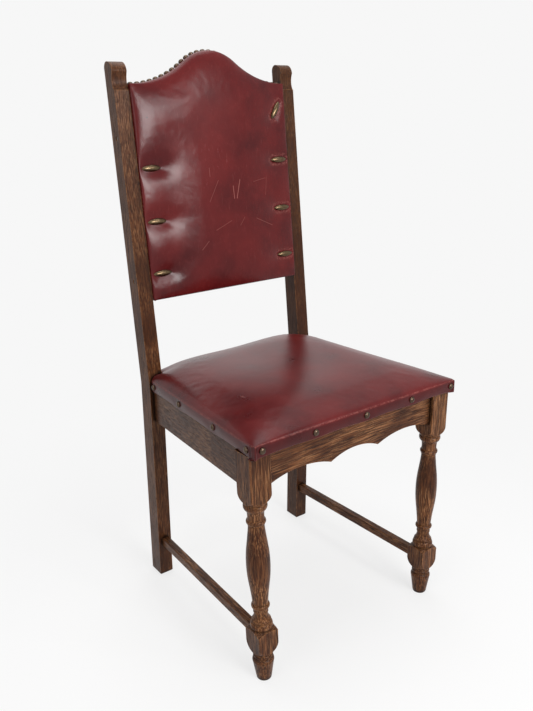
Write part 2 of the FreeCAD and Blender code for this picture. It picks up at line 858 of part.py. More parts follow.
def domed_nail(clearance):
    """A nail along Z: a domed head from Z = 0 up and a square shank below."""
    half = nail_shank / 2 + clearance
    shank = box(V(-half, -half, -nail_length - clearance), V(half, half, clearance))
    if clearance > 0:
        return shank
    rings = [(nail_radius * out, nail_rise * up) for out, up in nail_dome_shares]
    return fastener(rings).fuse(shank).removeSplitter()


def placed_nail(clearance, point, outward):
    """A nail whose head stands just clear of the leather at a point, square to its surface."""
    nail = domed_nail(clearance)
    nail.Placement = FreeCAD.Placement(point.add(outward * nail_clearance), FreeCAD.Rotation(UP, outward))
    return nail


def seat_nails(clearance):
    """Domed nails round the front and both sides of the border."""
    z = seat_height - seat_border / 2
    nails = []
    for share in front_nail_shares:
        point = V(share * seat_front_half_width, seat_front, z)
        nails.append(placed_nail(clearance, point, V(0, -1, 0)))
    corners = seat_corners(0, z)
    front_corner = corners[1]
    rear_corner = V(seat_rear_half_width, post_front_at_kink, z)
    side = rear_corner.sub(front_corner)
    outward = side.cross(UP).normalize()
    for share in side_nail_shares:
        nail = placed_nail(clearance, front_corner.add(side * share), outward)
        nails += [nail, mirrored(nail)]
    return tilted_with_seat(Part.makeCompound(nails))


# Back panel, modelled against the face of the posts and then leaned back with them

def panel_loop(inset, y):
    """The panel's outline: straight foot and sides, two hollow shoulders and a round crest."""
    half = panel_half_width - inset
    bottom = panel_bottom + inset
    hollow = hollow_radius + inset
    top_radius = crest_top_radius - inset
    shoulder_turn = math.asin(inset / hollow)
    mean = (crest_turn + shoulder_turn) / 2
    join = V(top_radius * math.sin(crest_turn), y, crest_centre_z + top_radius * math.cos(crest_turn))
    shoulder = V(half, y, hollow_centre_z - hollow * math.cos(shoulder_turn))
    hollow_mid = V(panel_half_width - hollow * math.sin(mean), y, hollow_centre_z - hollow * math.cos(mean))
    corner = panel_corner_radius
    cut = corner * (1 - math.cos(math.pi / 4))
    points = [
        V(-half + corner, y, bottom), V(half - corner, y, bottom), V(half - cut, y, bottom + cut),
        V(half, y, bottom + corner), shoulder, hollow_mid, join, V(0, y, crest_centre_z + top_radius),
        V(-join.x, y, join.z), V(-hollow_mid.x, y, hollow_mid.z), V(-shoulder.x, y, shoulder.z),
        V(-half, y, bottom + corner), V(-half + cut, y, bottom + cut), V(-half + corner, y, bottom),
    ]
    passed = [False, False, True, False, False, True, False, True, False, True, False, False, True, False]
    return Part.Wire(edges_through(points, passed))


def panel_plate(inset, front, back):
    """A flat layer with the panel's outline."""
    return Part.Face(panel_loop(inset, front)).extrude(V(0, back - front, 0))


def stud_places():
    """Where the studs sit: four rows down each side, with the turn of each. One is long lost."""
    x = panel_half_width - stud_from_edge
    places = []
    for row in range(stud_rows):
        z = panel_bottom + stud_first_row + row * stud_row_spacing
        last = row == stud_rows - 1
        places.append((V(x, 0, z), stud_turn if last else 0))
        if not last:
            places.append((V(-x, 0, z), 0))
    return places


def stud_oval(grow, y):
    """A long oval as four arcs, round the origin in the panel's plane."""
    a = stud_length / 2 + grow
    b = stud_width / 2 + grow
    diagonal = math.cos(math.pi / 4)
    ends = [V(a, y, 0), V(0, y, b), V(-a, y, 0), V(0, y, -b)]
    edges = []
    for i in range(4):
        start = ends[i]
        end = ends[(i + 1) % 4]
        middle = (start + end) * diagonal
        middle.y = y
        edges.append(Part.Arc(start, middle, end).toShape())
    return Part.Wire(edges)


stud_face = -panel_edge_proud + stud_seat_below_edge


def dimples(inset):
    """Lofted hollows where the studs pull the leather down, open towards the front."""
    reach = panel_crown + panel_edge_proud
    hollows = []
    for place, turn in stud_places():
        loops = []
        for depth_share, spread_share in zip(dimple_depth_shares, dimple_spread_shares):
            grow = stud_margin + inset + dimple_spread * spread_share
            loops.append(stud_oval(grow, stud_face + inset - reach * depth_share))
        hollow = lofted(loops)
        hollow.rotate(V(0, 0, 0), V(0, 1, 0), -turn)
        hollow.translate(place)
        hollows.append(hollow)
    return hollows


def panel_form(inset):
    """The padded front of the panel down to its wrap, crowned and dimpled. An inset gives the inside."""
    edge = -panel_edge_proud + inset
    body = panel_plate(inset, edge, panel_wrap_depth)
    loops = []
    for rise_share, inset_share in panel_crown_shares:
        y = edge - panel_crown * rise_share
        loops.append(panel_loop(inset + crest_top_radius * inset_share, y))
    form = body.fuse(lofted(loops))
    for hollow in dimples(inset):
        form = form.cut(hollow)
    return form


def back_cover():
    """The front leather, wrapped round the panel's edges."""
    skin = panel_form(0).cut(panel_form(leather))
    for hole in stud_pins(nail_clearance):
        skin = skin.cut(hole)
    skin = leaning_with_posts(skin).cut(crest_nails(nail_clearance))
    return skin.cut(both_sides(panel_screws_right(screw_clearance)))


def back_pad():
    """The stuffing between the webbing and the leather."""
    front = panel_frame_setback - 2 * webbing_thickness - soft_clearance
    behind = box(V(-panel_half_width, front, 0),
                 V(panel_half_width, panel_wrap_depth + overrun, panel_side_top + crest_rise))
    pad = panel_form(leather + soft_clearance).cut(behind)
    for hole in stud_pins(soft_clearance):
        pad = pad.cut(hole)
    return leaning_with_posts(pad)


def stud_pins(clearance):
    half = stud_pin / 2 + clearance
    pins = []
    for place, _ in stud_places():
        low = V(place.x - half, stud_face - clearance, place.z - half)
        pins.append(box(low, V(place.x + half, stud_face + stud_pin_length + clearance, place.z + half)))
    return pins


def back_studs():
    """Long oval heads, each half of a spindle, on square pins into the stiles."""
    a = stud_length / 2
    b = stud_width / 2
    left = V(-a, 0, 0)
    right = V(a, 0, 0)
    edges = [Part.Arc(left, V(0, 0, b), right).toShape(), Part.makeLine(right, left)]
    spindle = Part.Face(Part.Wire(edges)).revolve(V(0, 0, 0), ACROSS, 180)
    if spindle.CenterOfMass.y > 0:
        spindle.rotate(V(0, 0, 0), ACROSS, 180)
    studs = []
    for (place, turn), pin in zip(stud_places(), stud_pins(0)):
        head = spindle.copy()
        head.rotate(V(0, 0, 0), V(0, 1, 0), -turn)
        head.translate(V(place.x, stud_face, place.z))
        studs.append(head.fuse(pin).removeSplitter())
    return leaning_with_posts(Part.makeCompound(studs))


panel_frame_back = panel_frame_setback + panel_frame_depth
crest_rail_bottom = panel_side_top - crest_rail_below
stile_inner = panel_half_width - frame_inset - panel_stile_width


def panel_frame_window(low_x, high_x, low_z, high_z):
    plate = panel_plate(frame_inset, panel_frame_setback, panel_frame_back)
    window = box(V(low_x, panel_frame_setback - overrun, low_z),
                 V(high_x, panel_frame_back + overrun, high_z))
    return plate.common(window)


def panel_tenons(clearance):
    """Tenons of the right-hand stile into the crest rail, and of the bottom rail into the stile."""
    middle = (panel_frame_setback + panel_frame_back) / 2
    half = panel_tenon_thickness / 2 + clearance
    stile_mid = stile_inner + panel_stile_width / 2
    wide = panel_tenon_width / 2 + clearance
    upper = box(V(stile_mid - wide, middle - half, crest_rail_bottom - tenon_shoulder),
                V(stile_mid + wide, middle + half, crest_rail_bottom + panel_tenon_length + clearance))
    rail_mid = panel_bottom + frame_inset + panel_rail_width / 2
    lower = box(V(stile_inner - tenon_shoulder, middle - half, rail_mid - wide),
                V(stile_inner + panel_tenon_length + clearance, middle + half, rail_mid + wide))
    return upper, lower


def back_stile():
    upper = panel_tenons(0)[0]
    socket = panel_tenons(joint_clearance)[1]
    stile = panel_frame_window(stile_inner, panel_half_width, 0, crest_rail_bottom)
    stile = stile.fuse(upper).removeSplitter().cut(socket)
    for pin in stud_pins(nail_clearance):
        stile = stile.cut(pin)
    return leaning_with_posts(stile).cut(panel_screws_right(screw_clearance))


def back_crest_rail():
    socket = panel_tenons(joint_clearance)[0]
    rail = panel_frame_window(-panel_half_width, panel_half_width, crest_rail_bottom,
                              panel_side_top + crest_rise)
    rail = rail.cut(socket).cut(mirrored(socket))
    return leaning_with_posts(rail).cut(crest_nails(nail_clearance))


def back_bottom_rail():
    tenon = panel_tenons(0)[1]
    top = panel_bottom + frame_inset + panel_rail_width
    rail = panel_frame_window(-stile_inner, stile_inner, 0, top)
    return leaning_with_posts(rail.fuse(tenon).fuse(mirrored(tenon)).removeSplitter())


def back_webbing():
    """Three strips across and two up the panel, on the front of its frame."""
    low = panel_bottom + frame_inset + panel_rail_width
    strips = []
    step = (crest_rail_bottom - low) / 3
    half = stile_inner + webbing_lap / 2
    for i in range(3):
        z = low + step * (i + 1 / 2)
        strips.append(box(V(-half, panel_frame_setback - webbing_thickness, z - webbing_width / 2),
                          V(half, panel_frame_setback, z + webbing_width / 2)))
    for side in (-1, 1):
        x = side * stile_inner / 2
        front = panel_frame_setback - 2 * webbing_thickness
        high = crest_rail_bottom + webbing_lap
        strips.append(box(V(x - webbing_width / 2, front, low - webbing_lap),
                          V(x + webbing_width / 2, front + webbing_thickness, high)))
    return leaning_with_posts(Part.makeCompound(strips))


def back_outside_cover():
    """The thin leather that closes the back of the panel."""
    sheet = panel_plate(outside_leather_margin, panel_frame_back, panel_frame_back + outside_leather)
    return leaning_with_posts(sheet)


def crest_nails(clearance):
    """A close row of domed nails along the top edge, square to the curve."""
    top_run = crest_turn * crest_top_radius
    nailed_run = top_run + crest_turn * hollow_radius - crest_nail_end_gap
    count = int(nailed_run // crest_nail_pitch) + 1
    pitch = nailed_run / (count - 1 / 2)
    y = -panel_edge_proud + crest_nail_behind_edge
    nails = []
    for i in range(count):
        run = pitch * (i + 1 / 2)
        if run < top_run:
            angle = run / crest_top_radius
            x = crest_top_radius * math.sin(angle)
            z = crest_centre_z + crest_top_radius * math.cos(angle)
        else:
            angle = crest_turn - (run - top_run) / hollow_radius
            x = panel_half_width - hollow_radius * math.sin(angle)
            z = hollow_centre_z - hollow_radius * math.cos(angle)
        nail = placed_nail(clearance, V(x, y, z), V(math.sin(angle), 0, math.cos(angle)))
        nails += [nail, mirrored(nail)]
    return leaning_with_posts(Part.makeCompound(nails))


def panel_screws_right(clearance):
    """Two long screws from the post's outer face into the panel's stile."""
    screws = []
    middle = (panel_frame_setback + panel_frame_back) / 2
    for share in panel_screw_shares:
        z = panel_bottom + share * panel_side_height
        start = V(post_x + half_post - screw_head_height / 2, middle, z)
        screws.append(screw(start, V(-1, 0, 0), panel_screw_length, clearance))
    return leaning_with_posts(Part.makeCompound(screws))


# Writing the pieces

def pieces():
    leg = front_leg()
    post = rear_post()
    rail = side_rail()
    stretcher = side_stretcher()
    block_front, block_rear = [corner_block(*place) for place in block_places]
    side_member = seat_frame_side()
    stile = back_stile()
    return {
        "front_leg_right": leg,
        "front_leg_left": mirrored(leg),
        "rear_post_right": post,
        "rear_post_left": mirrored(post),
        "front_apron_rail": front_rail(),
        "side_rail_right": rail,
        "side_rail_left": mirrored(rail),
        "rear_seat_rail": rear_rail(),
        "side_stretcher_right": stretcher,
        "side_stretcher_left": mirrored(stretcher),
        "corner_block_front_right": block_front,
        "corner_block_front_left": mirrored(block_front),
        "corner_block_rear_right": block_rear,
        "corner_block_rear_left": mirrored(block_rear),
        "corner_block_screws": both_sides(block_screws_right(0)),
        "seat_fixing_screws": both_sides(seat_screws_right(0)),
        "seat_frame_front": seat_frame_cross(seat_front, front_member_y),
        "seat_frame_rear": seat_frame_cross(rear_member_y, seat_rear),
        "seat_frame_side_right": side_member,
        "seat_frame_side_left": mirrored(side_member),
        "seat_webbing": seat_webbing(),
        "seat_pad": seat_pad(),
        "seat_cover": seat_cover(),
        "seat_nails": seat_nails(0),
        "back_crest_rail": back_crest_rail(),
        "back_bottom_rail": back_bottom_rail(),
        "back_stile_right": stile,
        "back_stile_left": mirrored(stile),
        "back_webbing": back_webbing(),
        "back_pad": back_pad(),
        "back_cover": back_cover(),
        "back_outside_cover": back_outside_cover(),
        "crest_nails": crest_nails(0),
        "back_studs": back_studs(),
        "panel_screws": both_sides(panel_screws_right(0)),
    }


chair = pieces()
middle_y = (chair["seat_nails"].BoundBox.YMin + chair["rear_post_right"].BoundBox.YMax) / 2
os.makedirs("parts", exist_ok=True)
for name, shape in chair.items():
    shape.translate(V(0, -middle_y, 0))
    shape.exportStep("parts/" + name + ".step")
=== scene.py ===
import math

import bmesh
import bpy
from mathutils import Matrix, Vector


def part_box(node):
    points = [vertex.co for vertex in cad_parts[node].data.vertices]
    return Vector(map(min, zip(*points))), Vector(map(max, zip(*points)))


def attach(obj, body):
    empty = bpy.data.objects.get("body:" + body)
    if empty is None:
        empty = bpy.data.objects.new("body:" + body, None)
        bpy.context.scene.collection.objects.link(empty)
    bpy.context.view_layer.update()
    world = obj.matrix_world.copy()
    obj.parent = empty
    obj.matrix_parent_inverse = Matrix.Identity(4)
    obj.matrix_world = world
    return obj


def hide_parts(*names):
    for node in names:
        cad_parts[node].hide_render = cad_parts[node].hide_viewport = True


# An old oak side chair with oxblood leather on its seat and back panel.
# Metres. +Z is up, the front faces -Y and +X is to the right as seen from the front.

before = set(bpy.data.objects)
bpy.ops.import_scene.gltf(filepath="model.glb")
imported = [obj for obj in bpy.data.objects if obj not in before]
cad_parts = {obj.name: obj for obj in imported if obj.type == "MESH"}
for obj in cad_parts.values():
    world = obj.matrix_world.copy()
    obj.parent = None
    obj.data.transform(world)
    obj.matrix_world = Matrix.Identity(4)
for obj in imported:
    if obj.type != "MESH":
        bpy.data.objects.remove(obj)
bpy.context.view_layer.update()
MM = 0.001
UP = Vector((0, 0, 1))

# Places that the soft pieces share with the timber

leg_low, leg_high = (Vector(corner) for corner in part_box("front_leg_right"))
LEG_Y = (leg_low.y + leg_high.y) / 2

SEAT_HEIGHT = 460 * MM
SEAT_FALL = 12.5 * MM
SEAT_DEPTH = 418 * MM
SEAT_FRONT = LEG_Y - 31.9 * MM
SEAT_REAR = SEAT_FRONT + SEAT_DEPTH
SEAT_FRONT_HALF = 228 * MM
SEAT_REAR_HALF = 194.8 * MM
SEAT_BORDER = 21.5 * MM
SEAT_CORNER = 11 * MM
SEAT_TURN_UNDER = 15 * MM
LEATHER = 1.6 * MM
POST_FACE = LEG_Y + 354.3 * MM
POST_INNER = 170.6 * MM
POST_GAP = 0.6 * MM
POST_SIDE_GAP = 0.9 * MM
NOTCH_X = POST_INNER - POST_SIDE_GAP
NOTCH_Y = POST_FACE - POST_GAP
FALL_RUN = 386.1 * MM
FALL_SLOPE = SEAT_FALL / FALL_RUN

# Above the kink the posts lean back by 48 mm over a height of 542.4 mm
KINK_HEIGHT = 435 * MM
RAKE = math.atan(48.0 / 542.4)
PANEL_HALF = 169.8 * MM
PANEL_BOTTOM = 166 * MM
PANEL_SIDE_TOP = 555 * MM
CREST_RISE = 59 * MM
CREST_RADIUS = 88 * MM
PANEL_EDGE = -4.6 * MM
PANEL_CORNER = 5 * MM
PANEL_WRAP = 19 * MM
HOLLOW_RADIUS = (PANEL_HALF ** 2 + CREST_RISE ** 2) / (2 * CREST_RISE) - CREST_RADIUS
CREST_TURN = math.asin(PANEL_HALF / (HOLLOW_RADIUS + CREST_RADIUS))
CREST_CENTRE = PANEL_SIDE_TOP + CREST_RISE - CREST_RADIUS
HOLLOW_CENTRE = PANEL_SIDE_TOP + HOLLOW_RADIUS

STUD_X = 145.8 * MM
STUD_ROWS = (215 * MM, 311.5 * MM, 408 * MM)
STUD_TOP_ROW = 504.5 * MM
STUD_TURN = math.radians(58)
STUD_HALF_LENGTH = 19.5 * MM
STUD_HALF_WIDTH = 6.2 * MM
STUD_RISE = 6.0 * MM
STUD_BACK = PANEL_EDGE + 0.8 * MM
STUD_ROOT = 1.5 * MM
STUD_LONG_STEPS = 28
STUD_ROUND_STEPS = 12

SEAT_NAIL_RADIUS = 5.8 * MM
SEAT_NAIL_PROUD = 0.5 * MM
CREST_NAIL_RADIUS = 5.3 * MM
CREST_NAIL_PITCH = 13.1 * MM
CREST_NAIL_BEHIND = 12.5 * MM
CREST_NAIL_END_GAP = 6.5 * MM
FRONT_NAIL_SHARES = (-0.923, -0.461, 0.026, 0.500, 0.952)
SIDE_NAIL_SHARES = (0.050, 0.335, 0.678, 0.970)
NAIL_RISE = 3.6 * MM
NAIL_RIM = 0.35 * MM
NAIL_SHANK_RADIUS = 0.8 * MM
NAIL_SHANK_LENGTH = 3 * MM
NAIL_SIDES = 20
NAIL_DOME_STEPS = 6


# Node graphs

class Graph:
    """A node tree, with short ways to add and join its nodes."""

    def __init__(self, tree):
        self.tree = tree
        tree.nodes.clear()

    def put(self, target, value):
        """Joins a socket to an input, or sets the input to a plain value."""
        if isinstance(value, bpy.types.NodeSocket):
            self.tree.links.new(value, target)
        else:
            target.default_value = value

    def node(self, kind, inputs=None, **settings):
        node = self.tree.nodes.new(kind)
        for key, value in settings.items():
            setattr(node, key, value)
        for key, value in (inputs or {}).items():
            self.put(node.inputs[key], value)
        return node

    def math(self, operation, first, second, clamp=False):
        inputs = {0: first, 1: second}
        return self.node("ShaderNodeMath", inputs, operation=operation, use_clamp=clamp).outputs[0]

    def plus(self, first, second):
        return self.math("ADD", first, second)

    def times(self, first, second):
        return self.math("MULTIPLY", first, second)

    def vector(self, operation, inputs):
        """A vector made from others, or the number that the operation gives."""
        outputs = self.node("ShaderNodeVectorMath", inputs, operation=operation).outputs
        return outputs["Value" if operation in ("DOT_PRODUCT", "LENGTH", "DISTANCE") else "Vector"]

    def noise(self, vector, scale, detail=2.0, roughness=0.5):
        inputs = {"Vector": vector, "Scale": scale, "Detail": detail, "Roughness": roughness}
        return self.node("ShaderNodeTexNoise", inputs).outputs["Fac"]

    def ramp(self, value, stops):
        """Colours along a value. The stops are pairs of a position and a colour."""
        node = self.node("ShaderNodeValToRGB", {"Fac": value})
        elements = node.color_ramp.elements
        elements.remove(elements[-1])
        elements[0].position = stops[0][0]
        elements[0].color = shade(stops[0][1])
        for position, colour in stops[1:]:
            elements.new(position).color = shade(colour)
        return node.outputs["Color"]

    def range(self, value, low, high, to_low=0.0, to_high=1.0):
        node = self.node("ShaderNodeMapRange", {"Value": value, "From Min": low, "From Max": high,
                                                "To Min": to_low, "To Max": to_high})
        return node.outputs["Result"]

    def mix(self, factor, first, second):
        inputs = {0: factor, 6: shade(first), 7: shade(second)}
        return self.node("ShaderNodeMix", inputs, data_type="RGBA").outputs[2]

    def mix_shaders(self, factor, first, second):
        return self.node("ShaderNodeMixShader", {0: factor, 1: first, 2: second}).outputs[0]

    def place(self):
        return self.node("ShaderNodeTexCoord").outputs["Object"]

    def moved(self, vector, scale=(1, 1, 1), offset=(0, 0, 0), turn=(0, 0, 0)):
        inputs = {"Vector": vector, "Location": offset, "Rotation": turn, "Scale": scale}
        return self.node("ShaderNodeMapping", inputs).outputs["Vector"]

    def bump(self, height, strength, distance, normal=None):
        inputs = {"Height": height, "Strength": strength, "Distance": distance}
        if normal is not None:
            inputs["Normal"] = normal
        return self.node("ShaderNodeBump", inputs).outputs["Normal"]

    def painted(self, name):
        """A value that the mesh holds at its points."""
        return self.node("ShaderNodeAttribute", attribute_name=name).outputs["Fac"]

    def hollows(self, reach, low, high):
        """How closely a point is shut in by what stands round it, from 0 to 1."""
        node = self.node("ShaderNodeAmbientOcclusion", {"Distance": reach}, samples=8)
        return self.range(node.outputs["AO"], high, low)

    def worn_edges(self, radius, low, high):
        """How near a point is to a sharp edge, from 0 to 1."""
        rounded = self.node("ShaderNodeBevel", {"Radius": radius}, samples=4).outputs["Normal"]
        facing = self.node("ShaderNodeNewGeometry").outputs["True Normal"]
        return self.range(self.vector("DOT_PRODUCT", {0: rounded, 1: facing}), high, low)

    def seen(self):
        """1 for a ray of the camera, of a reflection or through glass, 0 for any other."""
        rays = self.node("ShaderNodeLightPath").outputs
        direct = self.math("MAXIMUM", rays["Is Camera Ray"], rays["Is Glossy Ray"])
        return self.math("MAXIMUM", direct, rays["Is Transmission Ray"])


class Surface(Graph):
    """The nodes of a material, round one shader."""

    def __init__(self, name):
        self.material = bpy.data.materials.new(name)
        self.material.use_nodes = True
        super().__init__(self.material.node_tree)
        self.output = self.node("ShaderNodeOutputMaterial").inputs["Surface"]
        self.shader = self.node("ShaderNodeBsdfPrincipled")
        self.put(self.output, self.shader.outputs["BSDF"])

    def shaded(self, inputs):
        """Gives the shader its inputs, and returns the material."""
        for key, value in inputs.items():
            self.put(self.shader.inputs[key], value)
        return self.material


def shade(colour):
    """A grey level or a colour of 3 numbers, as 4 numbers. A socket stays as it is."""
    if isinstance(colour, bpy.types.NodeSocket):
        return colour
    if isinstance(colour, (int, float)):
        return (colour, colour, colour, 1)
    return (*colour, 1)


def linear(red, green, blue):
    """A screen colour from 0 to 255, as the light values that shaders take."""
    levels = []
    for level in (red, green, blue):
        share = level / 255
        levels.append(share / 12.92 if share <= 0.04045 else ((share + 0.055) / 1.055) ** 2.4)
    return tuple(levels)


# Materials

OAK_DARK = linear(50, 26, 14)
OAK_MID = linear(89, 51, 29)
OAK_LIGHT = linear(123, 78, 47)
OAK_GOLD = linear(126, 82, 48)
OAK_FLECK = linear(156, 110, 74)
OAK_WORN = linear(168, 112, 66)
# The dark of the oak's pores, also used as painted shade in grooves, at joins and in a hole of the
# leather.
OAK_PORE_AND_SHADE = linear(20, 10, 6)


def oak(name, turn, offset, figure, stain_and_shade):
    """Dark stained oak. The grain runs along local Z after the turn, the offset picks the board,
    figure says how strongly its streaks show and stain_and_shade how much of its light stain it keeps,
    lower where it paints shade."""
    g = Surface(name)
    along = g.moved(g.place(), turn=turn, offset=offset)
    wobble = g.noise(g.moved(along, scale=(1, 1, 0.3)), 8)
    swing = g.vector("SCALE", {0: (0.014, 0.014, 0), "Scale": wobble})
    bent = g.vector("ADD", {0: along, 1: swing})

    rings = g.noise(g.moved(bent, scale=(1, 1, 0.045)), 340, detail=3, roughness=0.6)
    fibres = g.noise(g.moved(bent, scale=(1, 1, 0.04)), 1000, detail=3, roughness=0.7)
    pores = g.noise(g.moved(bent, scale=(1, 1, 0.035)), 760, roughness=0.6)
    pore = g.range(pores, 0.55, 0.60)
    flecks = g.noise(g.moved(bent, scale=(1, 1, 0.032), offset=(3, 1, 7)), 720)
    patches = g.noise(along, 10, detail=3)
    light_patch = g.range(patches, 0.46, 0.62)
    fleck = g.times(g.range(flecks, 0.545, 0.595), g.range(patches, 0.34, 0.54))

    colour = g.ramp(rings, [(0.38, OAK_DARK), (0.54, OAK_MID), (0.66, OAK_LIGHT)])
    colour = g.mix(1 - figure, colour, OAK_MID)
    colour = g.mix(g.times(light_patch, 0.35 * figure), colour, OAK_GOLD)
    colour = g.mix(g.range(fibres, 0.38, 0.68, 0.0, 0.45), colour, OAK_DARK)
    colour = g.mix(g.times(fleck, 0.85 * figure), colour, OAK_FLECK)
    colour = g.mix(g.times(pore, 0.75), colour, OAK_PORE_AND_SHADE)
    colour = g.mix(g.range(patches, 0.50, 0.34, 0.0, 0.4), colour, OAK_DARK)
    # Towards the dark oak where less light stain is kept, and on the right rear post as painted shade.
    colour = g.mix(1 - stain_and_shade, colour, OAK_DARK)
    # Painted shade: darker in the grooves of the turnings and where the oak meets other parts.
    colour = g.mix(g.times(g.hollows(9 * MM, 0.55, 0.95), 0.9), colour, OAK_PORE_AND_SHADE)

    scuffs = g.noise(along, 150, detail=4, roughness=0.65)
    edge = g.worn_edges(2.2 * MM, 0.82, 0.985)
    wear_and_highlight = g.times(edge, g.range(scuffs, 0.40, 0.58))
    colour = g.mix(g.times(wear_and_highlight, 0.75), colour, OAK_WORN)

    rough = g.plus(g.range(fibres, 0.3, 0.7, 0.25, 0.37), g.times(pore, 0.2))
    hollow = g.plus(g.times(pore, -0.9), g.times(fibres, 0.25))
    fine = g.bump(hollow, 0.5, 0.3 * MM)
    dents = g.bump(g.noise(along, 60), 0.3, 0.8 * MM, fine)
    return g.shaded({"Base Color": colour, "Roughness": rough, "Specular IOR Level": 0.13,
                     "Normal": dents})


def plain_timber(name, turn, offset):
    """Unstained timber of the frames inside, which has only darkened with age."""
    g = Surface(name)
    along = g.moved(g.place(), turn=turn, offset=offset)
    rings = g.noise(g.moved(along, scale=(1, 1, 0.05)), 90, detail=3)
    fibres = g.noise(g.moved(along, scale=(1, 1, 0.04)), 700, detail=3)
    patches = g.noise(along, 12, detail=4)
    colour = g.ramp(rings, [(0.3, linear(118, 84, 54)), (0.7, linear(178, 138, 96))])
    colour = g.mix(g.range(fibres, 0.4, 0.7, 0.0, 0.5), colour, linear(92, 64, 42))
    colour = g.mix(g.range(patches, 0.45, 0.75, 0.0, 0.4), colour, linear(70, 52, 38))
    return g.shaded({"Base Color": colour, "Roughness": 0.75, "Normal": g.bump(fibres, 0.5, 0.3 * MM)})


LEATHER_DEEP = linear(68, 14, 16)
LEATHER_MID = linear(84, 19, 20)
LEATHER_WARM = linear(94, 23, 23)
LEATHER_PALE = linear(120, 44, 42)
# Pale leather where it has had wear, also the colour of the painted highlight round the right studs.
LEATHER_WEAR_AND_HIGHLIGHT = linear(186, 116, 106)
# The colour of the painted shade on the seat's border.
LEATHER_PAINTED_SHADE = linear(42, 9, 10)


def leather(name, crease_scale, marks, polish, normal, scratches=(), holes=()):
    """Oxblood leather: a fine pebbled grain, soft creases, scuffs and a satin dressing. marks says
    how strongly the creases and scuffs show, and polish is the least roughness."""
    g = Surface(name)
    place = g.place()
    mottled = g.noise(place, 14)
    fine = g.noise(place, 70, detail=3)
    colour = g.ramp(mottled, [(0.28, LEATHER_DEEP), (0.50, LEATHER_MID), (0.72, LEATHER_WARM)])
    colour = g.mix(g.range(fine, 0.50, 0.75, 0.0, 0.12), colour, LEATHER_PALE)
    grained = g.noise(g.moved(place, scale=crease_scale), 330, detail=4, roughness=0.7)
    colour = g.mix(g.range(grained, 0.46, 0.30, 0.0, 0.25 * marks), colour, LEATHER_DEEP)

    pebbles = g.node("ShaderNodeTexVoronoi", {"Vector": place, "Scale": 950}, feature="DISTANCE_TO_EDGE")
    pebble = g.range(pebbles.outputs["Distance"], 0.0, 0.12)
    creases = g.noise(g.moved(place, scale=crease_scale), 190, detail=4, roughness=0.62)
    crease = g.range(creases, 0.57, 0.68)
    scuff_lines = g.noise(g.moved(place, scale=(1, 1, 0.07), turn=(0.1, 0.8, 0.2)), 420)
    scuff = g.range(scuff_lines, 0.66, 0.74)
    colour = g.mix(g.times(crease, 0.12 * marks), colour, LEATHER_PALE)
    colour = g.mix(g.times(scuff, 0.07 * marks), colour, LEATHER_WEAR_AND_HIGHLIGHT)
    rough = g.range(mottled, 0.28, 0.72, polish, polish + 0.04)
    for start, end, width, strength in scratches:
        mark = line_mark(g, place, start, end, width, normal)
        colour = g.mix(g.times(mark, strength), colour, LEATHER_WEAR_AND_HIGHLIGHT)
        rough = g.plus(rough, g.times(mark, 0.15))
    # Painted shade: a dark spot stands for each hole, which the mesh does not hollow out.
    for point, radius in holes:
        gap = g.vector("LENGTH", {0: beside(g, place, point, normal)})
        colour = g.mix(g.range(gap, radius, radius * 0.5, 0.0, 0.8), colour, OAK_PORE_AND_SHADE)

    speckle = g.range(g.noise(place, 260, detail=4, roughness=0.7), 0.42, 0.60)
    # Paler where the mesh holds wear at edges, and a painted highlight round the right studs.
    pale_wear_and_highlight = g.times(g.painted("wear_and_highlight"), speckle)
    colour = g.mix(g.times(pale_wear_and_highlight, 0.36), colour, LEATHER_WEAR_AND_HIGHLIGHT)
    # Painted shade that the mesh holds: on the seat's border, deepest in its corner pleats.
    colour = g.mix(g.times(g.painted("painted_shade_and_grime"), 0.7), colour, LEATHER_PAINTED_SHADE)

    rough = g.plus(rough, g.times(crease, 0.06 * marks))
    rough = g.plus(rough, g.times(pale_wear_and_highlight, 0.2))
    grain = g.bump(pebble, 0.10, 0.15 * MM)
    wrinkles = g.bump(creases, 0.2 * marks, 0.4 * MM, grain)
    ripples = g.bump(g.noise(place, 30), 0.18, 1.2 * MM, wrinkles)
    return g.shaded({"Base Color": colour, "Roughness": rough, "Specular IOR Level": 0.21,
                     "Normal": ripples})


def beside(g, place, point, normal):
    """The way from a point to the surface, seen square to the surface."""
    away = g.vector("SUBTRACT", {0: place, 1: tuple(point)})
    depth = g.vector("PROJECT", {0: away, 1: tuple(normal)})
    return g.vector("SUBTRACT", {0: away, 1: depth})


def line_mark(g, place, start, end, width, normal):
    """1 on a straight scratch between two points, fading to 0 beside it."""
    run = end - start
    away = beside(g, place, start, normal)
    along = g.vector("DOT_PRODUCT", {0: away, 1: tuple(run / run.length_squared)})
    share = g.math("MULTIPLY", along, 1.0, clamp=True)
    nearest = g.vector("SCALE", {0: tuple(run), "Scale": share})
    return g.range(g.vector("DISTANCE", {0: away, 1: nearest}), width, width * 0.3)


def metal(name, dark, bright, rough, painted_shade_and_grime):
    """Old cast or pressed metal: bright where handling wears it, dark in its pits."""
    g = Surface(name)
    place = g.place()
    tarnish = g.noise(place, 420, detail=4, roughness=0.65)
    pits = g.bump(g.noise(place, 700, detail=3), 0.25, 0.15 * MM)
    return g.shaded({"Base Color": g.ramp(tarnish, [(0.32, dark), (0.66, bright)]), "Metallic": 1.0,
                     "Roughness": g.range(tarnish, 0.3, 0.7, rough + painted_shade_and_grime, rough), "Normal": pits})


